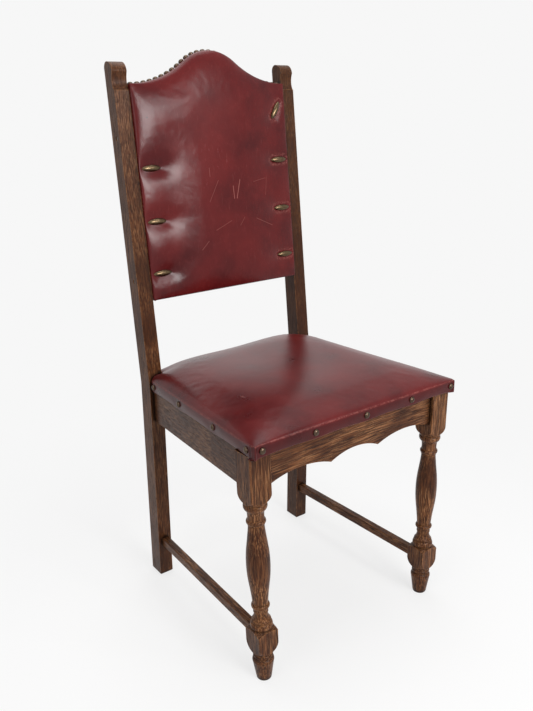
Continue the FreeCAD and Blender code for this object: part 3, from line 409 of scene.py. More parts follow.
def woven(name, threads, wander, colours, patch, rough, relief):
    """Coarse cloth of crossed threads, darker in patches. The colours are those of its hollows,
    its threads and its patches. patch gives the patches' scale, detail, threshold and strength."""
    g = Surface(name)
    place = g.place()
    ways = [g.node("ShaderNodeTexWave", {"Vector": place, "Scale": threads, "Distortion": wander},
                   bands_direction=way).outputs["Fac"] for way in "XY"]
    weave = g.math("MAXIMUM", *ways)
    hollow, thread, stained = colours
    scale, detail, threshold, strength = patch
    colour = g.ramp(weave, [(0.2, hollow), (0.9, thread)])
    patches = g.noise(place, scale, detail=detail)
    colour = g.mix(g.range(patches, threshold, 0.7, 0.0, strength), colour, stained)
    return g.shaded({"Base Color": colour, "Roughness": rough, "Normal": g.bump(weave, *relief)})


# Shared mesh helpers

def linked(name, data):
    """A new object in the scene."""
    thing = bpy.data.objects.new(name, data)
    bpy.context.scene.collection.objects.link(thing)
    return thing


def finished(name, shape, *materials):
    """A smooth piece made of a bmesh, its faces turned outwards."""
    mesh = bpy.data.meshes.new(name)
    bmesh.ops.recalc_face_normals(shape, faces=shape.faces)
    shape.to_mesh(mesh)
    shape.free()
    for polygon in mesh.polygons:
        polygon.use_smooth = True
    for material in materials:
        mesh.materials.append(material)
    return linked(name, mesh)


def joined(shape, first, second):
    """Adds the faces between two closed loops of as many points."""
    count = len(first)
    for k in range(count):
        after = (k + 1) % count
        shape.faces.new((first[k], first[after], second[after], second[k]))


def capped(shape, loop, point):
    """Adds the faces from a closed loop to a tip."""
    tip = shape.verts.new(point)
    for k in range(len(loop)):
        shape.faces.new((loop[k], loop[(k + 1) % len(loop)], tip))


def ease(share):
    """From 0 to 1 with a gentle start and end."""
    share = min(max(share, 0.0), 1.0)
    return share * share * (3 - 2 * share)


def lean_back(x, y, z):
    """A point of the panel, y behind the posts' face and z up their slope, in the chair's frame."""
    return Vector((x, POST_FACE + y * math.cos(RAKE) + z * math.sin(RAKE),
                   KINK_HEIGHT - y * math.sin(RAKE) + z * math.cos(RAKE)))


# Soft forms: a grid with its rim carried on as rings, so that each closes on itself

GRID_GROWTH = 1.3
LINING_SHARE = 0.988


def spaced(length, first, largest):
    """Distances along a length, close together at both ends and evenly spaced between."""
    steps = [0.0]
    step = first
    while steps[-1] + step < length / 2 - largest / 2:
        steps.append(steps[-1] + step)
        step = min(step * GRID_GROWTH, largest)
    places = steps + [length - place for place in reversed(steps)]
    filled = [places[0]]
    for start, end in zip(places, places[1:]):
        parts = max(1, math.ceil((end - start) / largest - 0.01))
        filled += [start + (end - start) * k / parts for k in range(1, parts + 1)]
    return filled


class Skin:
    """A sheet on a grid of flat places, lifted into a form and closed by rings round its rim."""

    def __init__(self, rows, form):
        """rows is a list of rows of flat places, with None where the sheet has no point, and form
        turns such a place into a point."""
        self.flat = []
        self.faces = []
        number = {}
        for j, row in enumerate(rows):
            for i, place in enumerate(row):
                if place is not None:
                    number[i, j] = len(self.flat)
                    self.flat.append(place)
        for (i, j), a in number.items():
            around = [number.get(key) for key in ((i + 1, j), (i + 1, j + 1), (i, j + 1))]
            if None not in around:
                self.faces.append((a, *around))
        self.sheet_faces = list(self.faces)
        self.points = [form(place) for place in self.flat]
        # Per point: how much paler it is painted, for wear and a painted highlight, and how much painted
        # shade it holds.
        self.wear_and_highlight = [0.0] * len(self.flat)
        self.painted_shade_and_grime = [0.0] * len(self.flat)
        self.rim = self.find_rim()
        self.loop = self.rim

    def find_rim(self):
        """The sheet's outer points in order: the edges that only one face has."""
        once = {}
        for face in self.faces:
            for a, b in zip(face, face[1:] + face[:1]):
                if (b, a) in once:
                    del once[b, a]
                else:
                    once[a, b] = True
        following = {a: b for a, b in once}
        start = next(iter(following))
        rim = [start]
        while following[rim[-1]] != start:
            rim.append(following[rim[-1]])
        return rim

    def rim_places(self):
        """Each flat place of the rim, with a flat direction away from the sheet."""
        places = [self.flat[index] for index in self.rim]
        around = []
        for k, place in enumerate(places):
            run = places[(k + 1) % len(places)] - places[k - 1]
            around.append((place, Vector((run.y, -run.x)).normalized()))
        return around

    def ring(self, places, wear_and_highlight=0.0, painted_shade_and_grime=None):
        start = len(self.points)
        count = len(places)
        self.points += places
        self.wear_and_highlight += [wear_and_highlight] * count
        self.painted_shade_and_grime += painted_shade_and_grime or [0.0] * count
        for k in range(count):
            after = (k + 1) % count
            self.faces.append((self.loop[k], start + k, start + after, self.loop[after]))
        self.loop = list(range(start, start + count))

    def close(self, form):
        """A second sheet like the first closes the form behind, inside the last ring."""
        number = dict(zip(self.rim, self.loop))
        for index, place in enumerate(self.flat):
            if index not in number:
                number[index] = len(self.points)
                self.points.append(form(place))
                self.wear_and_highlight.append(0.0)
                self.painted_shade_and_grime.append(0.0)
        for face in self.sheet_faces:
            self.faces.append(tuple(number[index] for index in reversed(face)))

    def build(self, name, material, lining):
        draft = bpy.data.meshes.new("draft")
        draft.from_pydata([tuple(point) for point in self.points], [], self.faces)
        draft.validate()
        shape = bmesh.new()
        shape.from_mesh(draft)
        bpy.data.meshes.remove(draft)
        piece = finished(name, shape, material, lining)
        for polygon in list(piece.data.polygons)[-len(self.sheet_faces):]:
            polygon.material_index = 1
        for key, values in (("wear_and_highlight", self.wear_and_highlight), ("painted_shade_and_grime", self.painted_shade_and_grime)):
            piece.data.attributes.new(key, "FLOAT", "POINT").data.foreach_set("value", values)
        return piece

    def held(self, weight):
        """How firmly each point is held: as weight says on the sheet, and wholly elsewhere."""
        sheet = [weight(*place) for place in self.flat]
        return sheet + [1.0] * (len(self.points) - len(sheet))


def rounded_corner(x, y, corner_x, corner_y, radius):
    """Moves a place in a square corner of an outline into a rounded one."""
    a = 1 - abs(corner_x - x) / radius
    b = 1 - abs(corner_y - y) / radius
    if a <= 0 or b <= 0:
        return Vector((x, y))
    side_x = math.copysign(1, corner_x)
    side_y = -1 if y > corner_y else 1
    in_x = corner_x - side_x * radius
    in_y = corner_y - side_y * radius
    return Vector((in_x + side_x * radius * a * math.sqrt(1 - b * b / 2),
                   in_y + side_y * radius * b * math.sqrt(1 - a * a / 2)))


def shoulders(gaps, roundness, fullness):
    """How far a crown has risen, from 0 at an edge to 1. gaps are pairs of the distance from an
    edge and the distance at which the crown is full."""
    rise = 1.0
    for gap, reach in gaps:
        share = min(max(gap / reach, 0.0), 1.0)
        rise *= max(1 - (1 - share) ** roundness, 0.0) ** fullness
    return rise


LEATHER_CLOTH = {
    "quality": 5, "mass": 0.4,
    "tension_stiffness": 25, "compression_stiffness": 25, "shear_stiffness": 12, "bending_stiffness": 60,
    "tension_damping": 12, "compression_damping": 12, "shear_damping": 12, "air_damping": 4,
    "shrink_min": 0.0, "use_pressure": True,
}


def puffed(piece, held, pressure, cap, frames):
    """Lets a closed leather form swell between the places that hold it, and keeps the result."""
    group = piece.vertex_groups.new(name="held")
    for index, weight in enumerate(held):
        if weight > 0:
            group.add([index], weight, "REPLACE")
    cloth = piece.modifiers.new("swell", "CLOTH")
    for key, value in LEATHER_CLOTH.items():
        setattr(cloth.settings, key, value)
    cloth.settings.uniform_pressure_force = pressure
    cloth.settings.vertex_group_mass = "held"
    cloth.settings.effector_weights.gravity = 0
    cloth.collision_settings.use_collision = False
    scene = bpy.context.scene
    for span in (scene, cloth.point_cache):
        span.frame_start = 1
        span.frame_end = frames
    for step in range(1, frames + 1):
        scene.frame_set(step)
    swollen = piece.evaluated_get(bpy.context.evaluated_depsgraph_get())
    moved = [vertex.co.copy() for vertex in swollen.data.vertices]
    piece.modifiers.remove(cloth)
    for vertex, place, weight in zip(piece.data.vertices, moved, held):
        shift = (place - vertex.co) * (1 - weight)
        if shift.length > cap:
            shift *= cap / shift.length
        vertex.co += shift
    scene.frame_set(1)


def subdivided(piece):
    finer = piece.modifiers.new("finer", "SUBSURF")
    finer.levels = 1
    finer.render_levels = 1
    finer.boundary_smooth = "PRESERVE_CORNERS"


# Back leather

PANEL_CROWN = 12.5 * MM
PANEL_SWELL = 1.22
PANEL_GRID_FIRST = 1.2 * MM
PANEL_GRID_ACROSS = 3.4 * MM
PANEL_GRID_UP = 3.6 * MM
PANEL_LINING = -0.6 * MM
DIMPLE_REACH = 30 * MM
STUD_SINK = 1.0 * MM
# The painted highlight round the right studs: its distance from a stud's middle line and its width.
STUD_RIM = 9 * MM
STUD_RIM_WIDTH = 2.4 * MM


def crest_height(x):
    """The panel's top edge at a distance from its middle."""
    x = min(abs(x), PANEL_HALF)
    if x < CREST_RADIUS * math.sin(CREST_TURN):
        return CREST_CENTRE + math.sqrt(CREST_RADIUS ** 2 - x * x)
    return HOLLOW_CENTRE - math.sqrt(HOLLOW_RADIUS ** 2 - (PANEL_HALF - x) ** 2)


def stud_list():
    """Place and turn of each stud: the upper left one is lost, the upper right one has turned."""
    places = []
    for z in STUD_ROWS:
        places += [(STUD_X, z, 0.0), (-STUD_X, z, 0.0)]
    return places + [(STUD_X, STUD_TOP_ROW, STUD_TURN)]


STUDS = stud_list()


def stud_gap(x, z, stud):
    """Distance from a stud's long middle line."""
    stud_x, stud_z, turn = stud
    dx = x - stud_x
    dz = z - stud_z
    along = dx * math.cos(turn) + dz * math.sin(turn)
    across = -dx * math.sin(turn) + dz * math.cos(turn)
    return math.hypot(max(abs(along) - STUD_HALF_LENGTH * 0.75, 0.0), across)


def nearest_stud(x, z):
    return min(stud_gap(x, z, stud) for stud in STUDS)


def panel_depth(x, z):
    """How far the leather stands in front of the panel's edge at a point."""
    gaps = ((PANEL_HALF - abs(x), 118 * MM), (crest_height(x) - z, 90 * MM), (z - PANEL_BOTTOM, 80 * MM))
    rise = shoulders(gaps, 2.6, 0.56)
    keep = 1.0
    valley = 0.0
    for stud in STUDS:
        stud_x, stud_z, turn = stud
        gap = max(stud_gap(x, z, stud) - 2 * MM, 0.0)
        keep *= 1 - math.exp(-(gap / DIMPLE_REACH) ** 1.12)
        if turn == 0.0 and (x > 0) == (stud_x > 0):
            away = abs(z - stud_z) / (17 * MM)
            outer = ease((abs(x) - (STUD_X - 26 * MM)) / (34 * MM))
            valley = max(valley, outer * math.exp(-away * away))
    return PANEL_CROWN * PANEL_SWELL * rise * keep * (1 - 0.55 * valley) - STUD_SINK * (1 - keep) ** 3


def panel_rows():
    """The panel as a grid that follows its crest, with rounded lower corners."""
    height = PANEL_SIDE_TOP - PANEL_BOTTOM
    rows = []
    for up in spaced(height, PANEL_GRID_FIRST, PANEL_GRID_UP):
        row = []
        for along in spaced(2 * PANEL_HALF, PANEL_GRID_FIRST, PANEL_GRID_ACROSS):
            x = along - PANEL_HALF
            z = PANEL_BOTTOM + up / height * (crest_height(x) - PANEL_BOTTOM)
            row.append(rounded_corner(x, z, math.copysign(PANEL_HALF, x), PANEL_BOTTOM, PANEL_CORNER))
        rows.append(row)
    return rows


def back_leather(material, lining):
    """The front leather with its stuffing, wrapped round the panel's frame: a closed form that is
    hollow behind, where the frame lies."""
    skin = Skin(panel_rows(), lambda place: lean_back(place.x, PANEL_EDGE - panel_depth(*place), place.y))
    rim = skin.rim_places()

    def loop(inset, y):
        moved = [place - away * inset for place, away in rim]
        return [lean_back(place.x, y, place.y) for place in moved]

    skin.ring(loop(-0.35 * MM, PANEL_EDGE + 1.2 * MM), wear_and_highlight=0.35)
    skin.ring(loop(-0.2 * MM, PANEL_EDGE + 4 * MM))
    skin.ring(loop(0, PANEL_WRAP * 0.6))
    skin.ring(loop(0, PANEL_WRAP))
    skin.ring(loop(LEATHER, PANEL_WRAP))
    skin.ring(loop(LEATHER, PANEL_LINING))
    middle = Vector((0, (PANEL_BOTTOM + PANEL_SIDE_TOP) / 2))

    def lining_point(place):
        inner = middle + (place - middle) * LINING_SHARE
        return lean_back(inner.x, PANEL_LINING, inner.y)

    def weight(x, z):
        edge = min(PANEL_HALF - abs(x), crest_height(x) - z, z - PANEL_BOTTOM)
        return max(1 - ease(edge / (5 * MM)), 1 - ease((nearest_stud(x, z) - 3 * MM) / (6 * MM)))

    skin.close(lining_point)
    # Painted highlight: a pale ring round each right stud, where the pressed leather rises.
    for index, (x, z) in enumerate(skin.flat):
        if x > 0:
            skin.wear_and_highlight[index] = 0.75 * math.exp(-((nearest_stud(x, z) - STUD_RIM) / STUD_RIM_WIDTH) ** 2)
    piece = skin.build("back_leather", material, lining)
    puffed(piece, skin.held(weight), pressure=3.0, cap=1.2 * MM, frames=10)
    subdivided(piece)
    return piece


# Seat leather

SEAT_CROWN_FRONT = 21 * MM
SEAT_CROWN_MORE_REAR = 19 * MM
SEAT_CROWN_MORE_RIGHT = 7 * MM
SEAT_GRID_FIRST = 1.0 * MM
SEAT_GRID_ACROSS = 4.6 * MM
SEAT_GRID_DEEP = 5 * MM
SEAT_LINING = 1 * MM
TUCK_REACH = 52 * MM
TUCK_LEVEL = 10 * MM
BORDER_PROUD = 0.3 * MM
BORDER_SWELL = 1.3 * MM
EDGE_WAVE = 1.6 * MM
CORNER_DROP = 3.2 * MM
PLEATS = (-6.5 * MM, 6.5 * MM)
PLEAT_DEPTH = 2.0 * MM


def border_level(y, below=0.0):
    """Height of the seat border's top edge, or a distance below it."""
    return SEAT_HEIGHT - below - FALL_SLOPE * (y - SEAT_FRONT)


def seat_half(y):
    share = (y - SEAT_FRONT) / (POST_FACE - SEAT_FRONT)
    return SEAT_FRONT_HALF + (SEAT_REAR_HALF - SEAT_FRONT_HALF) * share


def seat_crown(x, y):
    """How high the leather stands above the border's plane."""
    gaps = ((seat_half(y) - abs(x), 150 * MM), (y - SEAT_FRONT, 150 * MM), (SEAT_REAR - y, 120 * MM))
    back = (y - SEAT_FRONT) / SEAT_DEPTH
    full = SEAT_CROWN_FRONT + SEAT_CROWN_MORE_REAR * back
    right = SEAT_CROWN_MORE_RIGHT * ease((x + 40 * MM) / (200 * MM)) * ease(back)
    crown = (full + right) * shoulders(gaps, 3.0, 0.60)
    corner_gap = post_gap(x, y) if y < NOTCH_Y or abs(x) < NOTCH_X else 0.0
    share = min(corner_gap / TUCK_REACH, 1.0)
    tuck = 1 - (1 - (1 - share) ** 2.6) ** 0.6
    return crown + tuck * (min(crown, TUCK_LEVEL) - crown)


def post_gap(x, y):
    """Distance in plan from the nearer post's corner."""
    return math.hypot(max(NOTCH_X - abs(x), 0.0), max(NOTCH_Y - y, 0.0))


def seat_rows():
    """The seat in plan as a grid: the rear corners have no points, where the posts stand."""
    notch = NOTCH_Y - SEAT_FRONT
    depth = [d for d in spaced(SEAT_DEPTH, SEAT_GRID_FIRST, SEAT_GRID_DEEP) if abs(d - notch) > 2.2 * MM]
    notch_share = NOTCH_X / seat_half(NOTCH_Y)
    across = spaced(2 * SEAT_REAR_HALF, SEAT_GRID_FIRST, SEAT_GRID_ACROSS)
    shares = [d / SEAT_REAR_HALF - 1 for d in across]
    shares = [share for share in shares if abs(abs(share) - notch_share) > 0.012]
    shares = sorted(shares + [notch_share, -notch_share])
    return [[seat_place(share, SEAT_FRONT + d, notch_share) for share in shares]
            for d in sorted(depth + [notch])]


def seat_place(share, y, notch_share):
    """A place of the seat in plan at a share of its half width, or None where a post stands."""
    if y > NOTCH_Y + 0.1 * MM:
        between = abs(share) <= notch_share + 0.001
        return Vector((share / notch_share * NOTCH_X, y)) if between else None
    x = share * seat_half(y)
    if y < SEAT_FRONT + SEAT_CORNER:
        return rounded_corner(x, y, math.copysign(seat_half(SEAT_FRONT), x), SEAT_FRONT, SEAT_CORNER)
    return Vector((x, y))


def on_notch(place):
    """True on the walls of the seat that stand against a post."""
    near = 0.5 * MM
    along_side = abs(abs(place.x) - NOTCH_X) < near and place.y > NOTCH_Y - near
    along_face = abs(place.y - NOTCH_Y) < near and abs(place.x) > NOTCH_X - near
    return along_side or along_face


def seat_nail_places():
    """Where each nail's head sits on the border, and which way it faces."""
    middle = SEAT_BORDER / 2
    front_level = border_level(SEAT_FRONT, middle)
    places = []
    for share in FRONT_NAIL_SHARES:
        foot = Vector((share * SEAT_FRONT_HALF, SEAT_FRONT - SEAT_NAIL_PROUD, front_level))
        places.append((foot, Vector((0, -1, 0))))
    for share in SIDE_NAIL_SHARES:
        y = SEAT_FRONT + share * (POST_FACE - SEAT_FRONT)
        for side in (-1, 1):
            outward = Vector((side, (SEAT_FRONT_HALF - SEAT_REAR_HALF) / (POST_FACE - SEAT_FRONT), 0))
            outward.normalize()
            foot = Vector((side * seat_half(y), y, border_level(y, middle)))
            places.append((foot + outward * SEAT_NAIL_PROUD, outward))
    return places


def seat_leather(material, lining):
    """The seat's leather with its stuffing: a crown, a nailed border, and an edge turned under."""
    skin = Skin(seat_rows(), lambda place: Vector((*place, border_level(place.y) + seat_crown(*place))))
    rim = skin.rim_places()
    nails = [point.to_2d() for point, _ in seat_nail_places()]

    def from_corner(place):
        return place - Vector((math.copysign(SEAT_FRONT_HALF, place.x), SEAT_FRONT))

    def tab(place):
        """1 at a front corner, fading to 0 beside it."""
        return math.exp(-(from_corner(place).length / (9 * MM)) ** 2)

    def pleat(place):
        """1 in the folds that gather the leather at a front corner, 0 away from them."""
        away = from_corner(place)
        run = abs(away.x) - abs(away.y)
        return sum(math.exp(-((run - fold) / (1.5 * MM)) ** 2) for fold in PLEATS)

    def between_nails(place, reach):
        """0 at a nail, rising to 1 away from it."""
        near = min((place - nail).length for nail in nails)
        return 1 - math.exp(-(near / reach) ** 2)

    def bulge(place, drop):
        """How far the border swells between its nails at a depth below its top edge."""
        if on_notch(place) or place.y > NOTCH_Y:
            return 0.0
        profile = math.sin(math.pi * min(drop / SEAT_BORDER, 1.0))
        swell = BORDER_SWELL * between_nails(place, 20 * MM) * profile
        return BORDER_PROUD + swell - PLEAT_DEPTH * pleat(place) * profile

    def wave(place):
        """How far the lower edge rides up between two nails."""
        return EDGE_WAVE * between_nails(place, 26 * MM) - CORNER_DROP * tab(place)

    def loop(drop, inset=0.0):
        places = []
        for place, away in rim:
            top = border_level(place.y) + (seat_crown(*place) if on_notch(place) else 0.0)
            bottom = border_level(place.y, SEAT_BORDER) + (0.0 if on_notch(place) else wave(place))
            flat = place + away * (bulge(place, drop) - inset)
            places.append(Vector((flat.x, flat.y, top + (bottom - top) * (drop / SEAT_BORDER))))
        return places

    # Painted shade on the border's face: deepest in the corner pleats, weaker on the tab between them.
    dark = [min(0.75 - 0.55 * tab(place) + 0.7 * pleat(place), 1.0) for place, _ in rim]
    # Half as much painted shade near the border's top and foot.
    lighter = [0.5 * share for share in dark]
    skin.ring(loop(0.9 * MM), wear_and_highlight=0.6)
    skin.ring(loop(2.4 * MM), painted_shade_and_grime=lighter)
    for drop in (5, 8, 11, 14, 17, 19.6):
        skin.ring(loop(drop * MM), painted_shade_and_grime=dark)
    skin.ring(loop(21 * MM), wear_and_highlight=0.25, painted_shade_and_grime=lighter)
    skin.ring(loop(SEAT_BORDER, 0.9 * MM))
    skin.ring(loop(SEAT_BORDER, SEAT_TURN_UNDER * 0.5))
    skin.ring(loop(SEAT_BORDER, SEAT_TURN_UNDER))
    skin.ring(loop(20 * MM, SEAT_TURN_UNDER))
    skin.ring(loop(20 * MM, LEATHER * 1.1))
    skin.ring(loop(SEAT_LINING, LEATHER * 1.1))
    middle = Vector((0, SEAT_FRONT + SEAT_DEPTH / 2))

    def lining_point(place):
        inner = middle + (place - middle) * LINING_SHARE
        return Vector((inner.x, inner.y, border_level(inner.y, SEAT_LINING)))

    def weight(x, y):
        edge = min(seat_half(y) - abs(x), y - SEAT_FRONT, SEAT_REAR - y)
        return max(1 - ease(edge / (12 * MM)), 1 - ease(post_gap(x, y) / (14 * MM)))

    skin.close(lining_point)
    for index, (place, _) in zip(skin.rim, rim):
        skin.wear_and_highlight[index] = 0.0 if on_notch(place) or place.y > NOTCH_Y else 0.65
    piece = skin.build("seat_leather", material, lining)
    puffed(piece, skin.held(weight), pressure=2.5, cap=1.0 * MM, frames=8)
    subdivided(piece)
    return piece


# Dressing the frame's own pieces

WELD_GAP = 0.01 * MM
EDGE_WEAR = 0.9 * MM
SHARP_ANGLE = math.radians(35)
GRAIN_UP = (0, 0, 0)
GRAIN_ACROSS = (0, math.radians(90), 0)
GRAIN_DEEP = (math.radians(90), 0, 0)

# Each stained board's grain, how strongly its figure shows, and how much of its light stain it keeps;
# the right rear post keeps less, as painted shade
BOARDS = {
    "front_leg_left": (GRAIN_UP, 0.9, 1.0), "front_leg_right": (GRAIN_UP, 0.9, 1.0),
    # The right rear post keeps less stain than the left one: painted shade.
    "rear_post_left": (GRAIN_UP, 0.6, 0.75), "rear_post_right": (GRAIN_UP, 0.6, 0.38),
    "front_apron_rail": (GRAIN_ACROSS, 0.9, 0.85), "rear_seat_rail": (GRAIN_ACROSS, 0.9, 1.0),
    "side_rail_left": (GRAIN_DEEP, 0.9, 0.65), "side_rail_right": (GRAIN_DEEP, 0.9, 0.65),
    "side_stretcher_left": (GRAIN_DEEP, 0.9, 0.95), "side_stretcher_right": (GRAIN_DEEP, 0.9, 0.95),
}
INNER_BOARDS = {
    "corner_block_front_left": GRAIN_ACROSS, "corner_block_front_right": GRAIN_ACROSS,
    "corner_block_rear_left": GRAIN_ACROSS, "corner_block_rear_right": GRAIN_ACROSS,
    "seat_frame_front": GRAIN_ACROSS, "seat_frame_rear": GRAIN_ACROSS,
    "seat_frame_side_left": GRAIN_DEEP, "seat_frame_side_right": GRAIN_DEEP,
    "back_crest_rail": GRAIN_ACROSS, "back_bottom_rail": GRAIN_ACROSS,
    "back_stile_left": GRAIN_UP, "back_stile_right": GRAIN_UP,
}


def dress(name, material):
    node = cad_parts[name]
    node.data.materials.clear()
    node.data.materials.append(material)
    return node


def rounded_edges(node):
    """Softens sharp edges as wear does. The node's own mesh stays as it is."""
    weld = node.modifiers.new("weld", "WELD")
    weld.merge_threshold = WELD_GAP
    bevel = node.modifiers.new("bevel", "BEVEL")
    bevel.width = EDGE_WEAR
    bevel.segments = 2
    bevel.limit_method = "ANGLE"
    bevel.angle_limit = SHARP_ANGLE
    for polygon in node.data.polygons:
        polygon.use_smooth = True
    node.modifiers.new("normals", "WEIGHTED_NORMAL").keep_sharp = False


def dress_frame():
    for i, (name, (turn, figure, stain_and_shade)) in enumerate(BOARDS.items()):
        rounded_edges(dress(name, oak("oak_" + name, turn, (1.7 * i, 0.9 * i, 0.37 * i), figure, stain_and_shade)))
    for i, (name, turn) in enumerate(INNER_BOARDS.items()):
        dress(name, plain_timber("timber_" + name, turn, (2.1 * i, 1.3 * i, 0.5 * i)))
    steel = metal("dull_steel", linear(70, 62, 54), linear(140, 134, 126), 0.42, 0.25)
    for name in ("corner_block_screws", "seat_fixing_screws", "panel_screws"):
        dress(name, steel)
    jute_colours = (linear(86, 68, 44), linear(158, 134, 94), linear(96, 80, 56))
    jute = woven("jute", 260, 1.5, jute_colours, (30, 3, 0.4, 0.4), 0.9, (0.7, 0.4 * MM))
    for name in ("seat_webbing", "back_webbing"):
        dress(name, jute)


# Nails and studs

def crest_nail_places():
    """A close row along the crest's top edge, square to the curve."""
    top_run = CREST_TURN * CREST_RADIUS
    run_end = top_run + CREST_TURN * HOLLOW_RADIUS - CREST_NAIL_END_GAP
    count = int(run_end // CREST_NAIL_PITCH) + 1
    pitch = run_end / (count - 0.5)
    y = PANEL_EDGE + CREST_NAIL_BEHIND
    places = []
    for i in range(count):
        run = pitch * (i + 0.5)
        if run < top_run:
            angle = run / CREST_RADIUS
            x = CREST_RADIUS * math.sin(angle)
            z = CREST_CENTRE + CREST_RADIUS * math.cos(angle)
        else:
            angle = CREST_TURN - (run - top_run) / HOLLOW_RADIUS
            x = PANEL_HALF - HOLLOW_RADIUS * math.sin(angle)
            z = HOLLOW_CENTRE - HOLLOW_RADIUS * math.cos(angle)
        for side in (-1, 1):
            foot = lean_back(side * x, y, z)
            tip = lean_back(side * (x + math.sin(angle)), y, z + math.cos(angle))
            places.append((foot, (tip - foot).normalized()))
    return places


def nail_heads(name, material, places, radius):
    """Domed nail heads, each at a point and square to a direction, on short shanks."""
    profile = [(NAIL_SHANK_RADIUS, -NAIL_SHANK_LENGTH), (NAIL_SHANK_RADIUS, 0.1 * MM),
               (radius * 0.96, 0.05 * MM), (radius, NAIL_RIM)]
    for i in range(1, NAIL_DOME_STEPS):
        angle = math.pi / 2 * i / NAIL_DOME_STEPS
        profile.append((radius * math.cos(angle), NAIL_RIM + NAIL_RISE * math.sin(angle)))
    shape = bmesh.new()
    for point, direction in places:
        turn = UP.rotation_difference(direction).to_matrix().to_4x4()
        turned(shape, Matrix.Translation(point) @ turn, profile, NAIL_RIM + NAIL_RISE)
    return finished(name, shape, material)


def turned(shape, place, profile, tip):
    """Adds a closed turned form to a bmesh: rings of a radius and a height, and a tip."""
    loops = []
    for out, up in profile:
        loop = []
        for k in range(NAIL_SIDES):
            around = 2 * math.pi * k / NAIL_SIDES
            point = Vector((out * math.cos(around), out * math.sin(around), up))
            loop.append(shape.verts.new(place @ point))
        loops.append(loop)
    for lower, upper in zip(loops, loops[1:]):
        joined(shape, lower, upper)
    capped(shape, loops[-1], place @ Vector((0, 0, tip)))
    shape.faces.new(list(reversed(loops[0])))


def stud_point(stud, along, side, depth):
    """A point of a stud: along its length, to its side and behind the posts' face."""
    stud_x, stud_z, turn = stud
    x = along * math.cos(turn) - side * math.sin(turn)
    z = along * math.sin(turn) + side * math.cos(turn)
    return lean_back(stud_x + x, depth, stud_z + z)


def oval_studs(material):
    """Long smooth studs like split grains of barley, their flat side sunk into the leather."""
    shape = bmesh.new()
    for stud in STUDS:
        loops = []
        for i in range(1, STUD_LONG_STEPS):
            share = -math.cos(math.pi * i / STUD_LONG_STEPS)
            along = share * STUD_HALF_LENGTH
            size = (1 - share * share) ** 0.62
            points = []
            for k in range(STUD_ROUND_STEPS + 1):
                angle = math.pi * k / STUD_ROUND_STEPS
                side = STUD_HALF_WIDTH * size * math.cos(angle)
                out = STUD_RISE * size * math.sin(angle) ** 0.85
                points.append(stud_point(stud, along, side, STUD_BACK - out))
            for side in (-1, 1):
                inset = side * STUD_HALF_WIDTH * size * 0.7
                points.append(stud_point(stud, along, -inset, STUD_BACK + STUD_ROOT))
            loops.append([shape.verts.new(point) for point in points])
        for first, second in zip(loops, loops[1:]):
            joined(shape, first, second)
        for loop, end in ((loops[0], -STUD_HALF_LENGTH), (loops[-1], STUD_HALF_LENGTH)):
            capped(shape, loop, stud_point(stud, end, 0, STUD_BACK))
    return finished("oval_studs", shape, material)


# Stage: floor, light and camera

BACKDROP = 0.93
WORLD_FILL = 0.21
FLOOR_SIZE = 6.0
FLOOR_COLOUR = 0.90
PAPER_NEAR = 0.98
PAPER_SHARE_NEAR = 0.73
FADE_START = 0.3
FADE_END = 1.1

# Each lamp's place, the point it faces, its width and height, and its power in watts
LAMPS = {
    "key": ((0.02, -2.4, 1.4), (0.0, 0.17, 1.0), (0.95, 0.85), 46),
    "right": ((0.75, -1.9, 1.62), (0.0, 0.17, 0.95), (0.7, 0.55), 9),
    "left": ((-2.4, -0.6, 1.6), (0, 0, 0.6), (1.5, 1.5), 13),
    "top": ((0.1, 0.3, 2.7), (0.1, 0.1, 0), (2.0, 2.0), 36),
    "behind": ((0.9, 2.6, 1.5), (0, 0, 0.7), (2.4, 1.8), 7),
}

CAMERA_PLACE = (-0.784572, LEG_Y - 0.843506, 0.932619)
CAMERA_AZIMUTH = math.radians(-35.854)
CAMERA_ELEVATION = math.radians(18.454)
CAMERA_ROLL = math.radians(-1.383)
FOCAL_PIXELS = 726.02
LONG_SIDE_PIXELS = 711
SENSOR_WIDTH = 36


def floor():
    """A white floor that keeps the chair's shadow and runs out into the white of the backdrop."""
    g = Surface("studio_floor")
    g.shaded({"Base Color": shade(FLOOR_COLOUR), "Roughness": 0.9, "Specular IOR Level": 0.05})
    flat = g.vector("MULTIPLY", {0: g.place(), 1: (1, 1, 0)})
    fade = g.node("ShaderNodeMapRange", {"Value": g.vector("LENGTH", {0: flat}), "From Min": FADE_START,
                                         "From Max": FADE_END}, interpolation_type="SMOOTHSTEP")
    fade = fade.outputs["Result"]
    paper = g.node("ShaderNodeEmission", {"Color": g.mix(fade, PAPER_NEAR, BACKDROP), "Strength": 1.0})
    paper_share = g.times(g.range(fade, 0.0, 1.0, PAPER_SHARE_NEAR, 1.0), g.seen())
    g.put(g.output, g.mix_shaders(paper_share, g.shader.outputs["BSDF"], paper.outputs[0]))
    shape = bmesh.new()
    bmesh.ops.create_grid(shape, x_segments=4, y_segments=4, size=FLOOR_SIZE)
    mesh = bpy.data.meshes.new("floor")
    shape.to_mesh(mesh)
    shape.free()
    mesh.materials.append(g.material)
    linked("floor", mesh)


def backdrop():
    """White to the camera and in reflections, and a dim even fill for the light on the chair."""
    world = bpy.data.worlds.new("studio")
    bpy.context.scene.world = world
    world.use_nodes = True
    g = Graph(world.node_tree)
    fill, white = (g.node("ShaderNodeBackground", {"Color": shade(level)}).outputs[0]
                   for level in (WORLD_FILL, BACKDROP))
    out = g.node("ShaderNodeOutputWorld")
    g.put(out.inputs["Surface"], g.mix_shaders(g.seen(), fill, white))


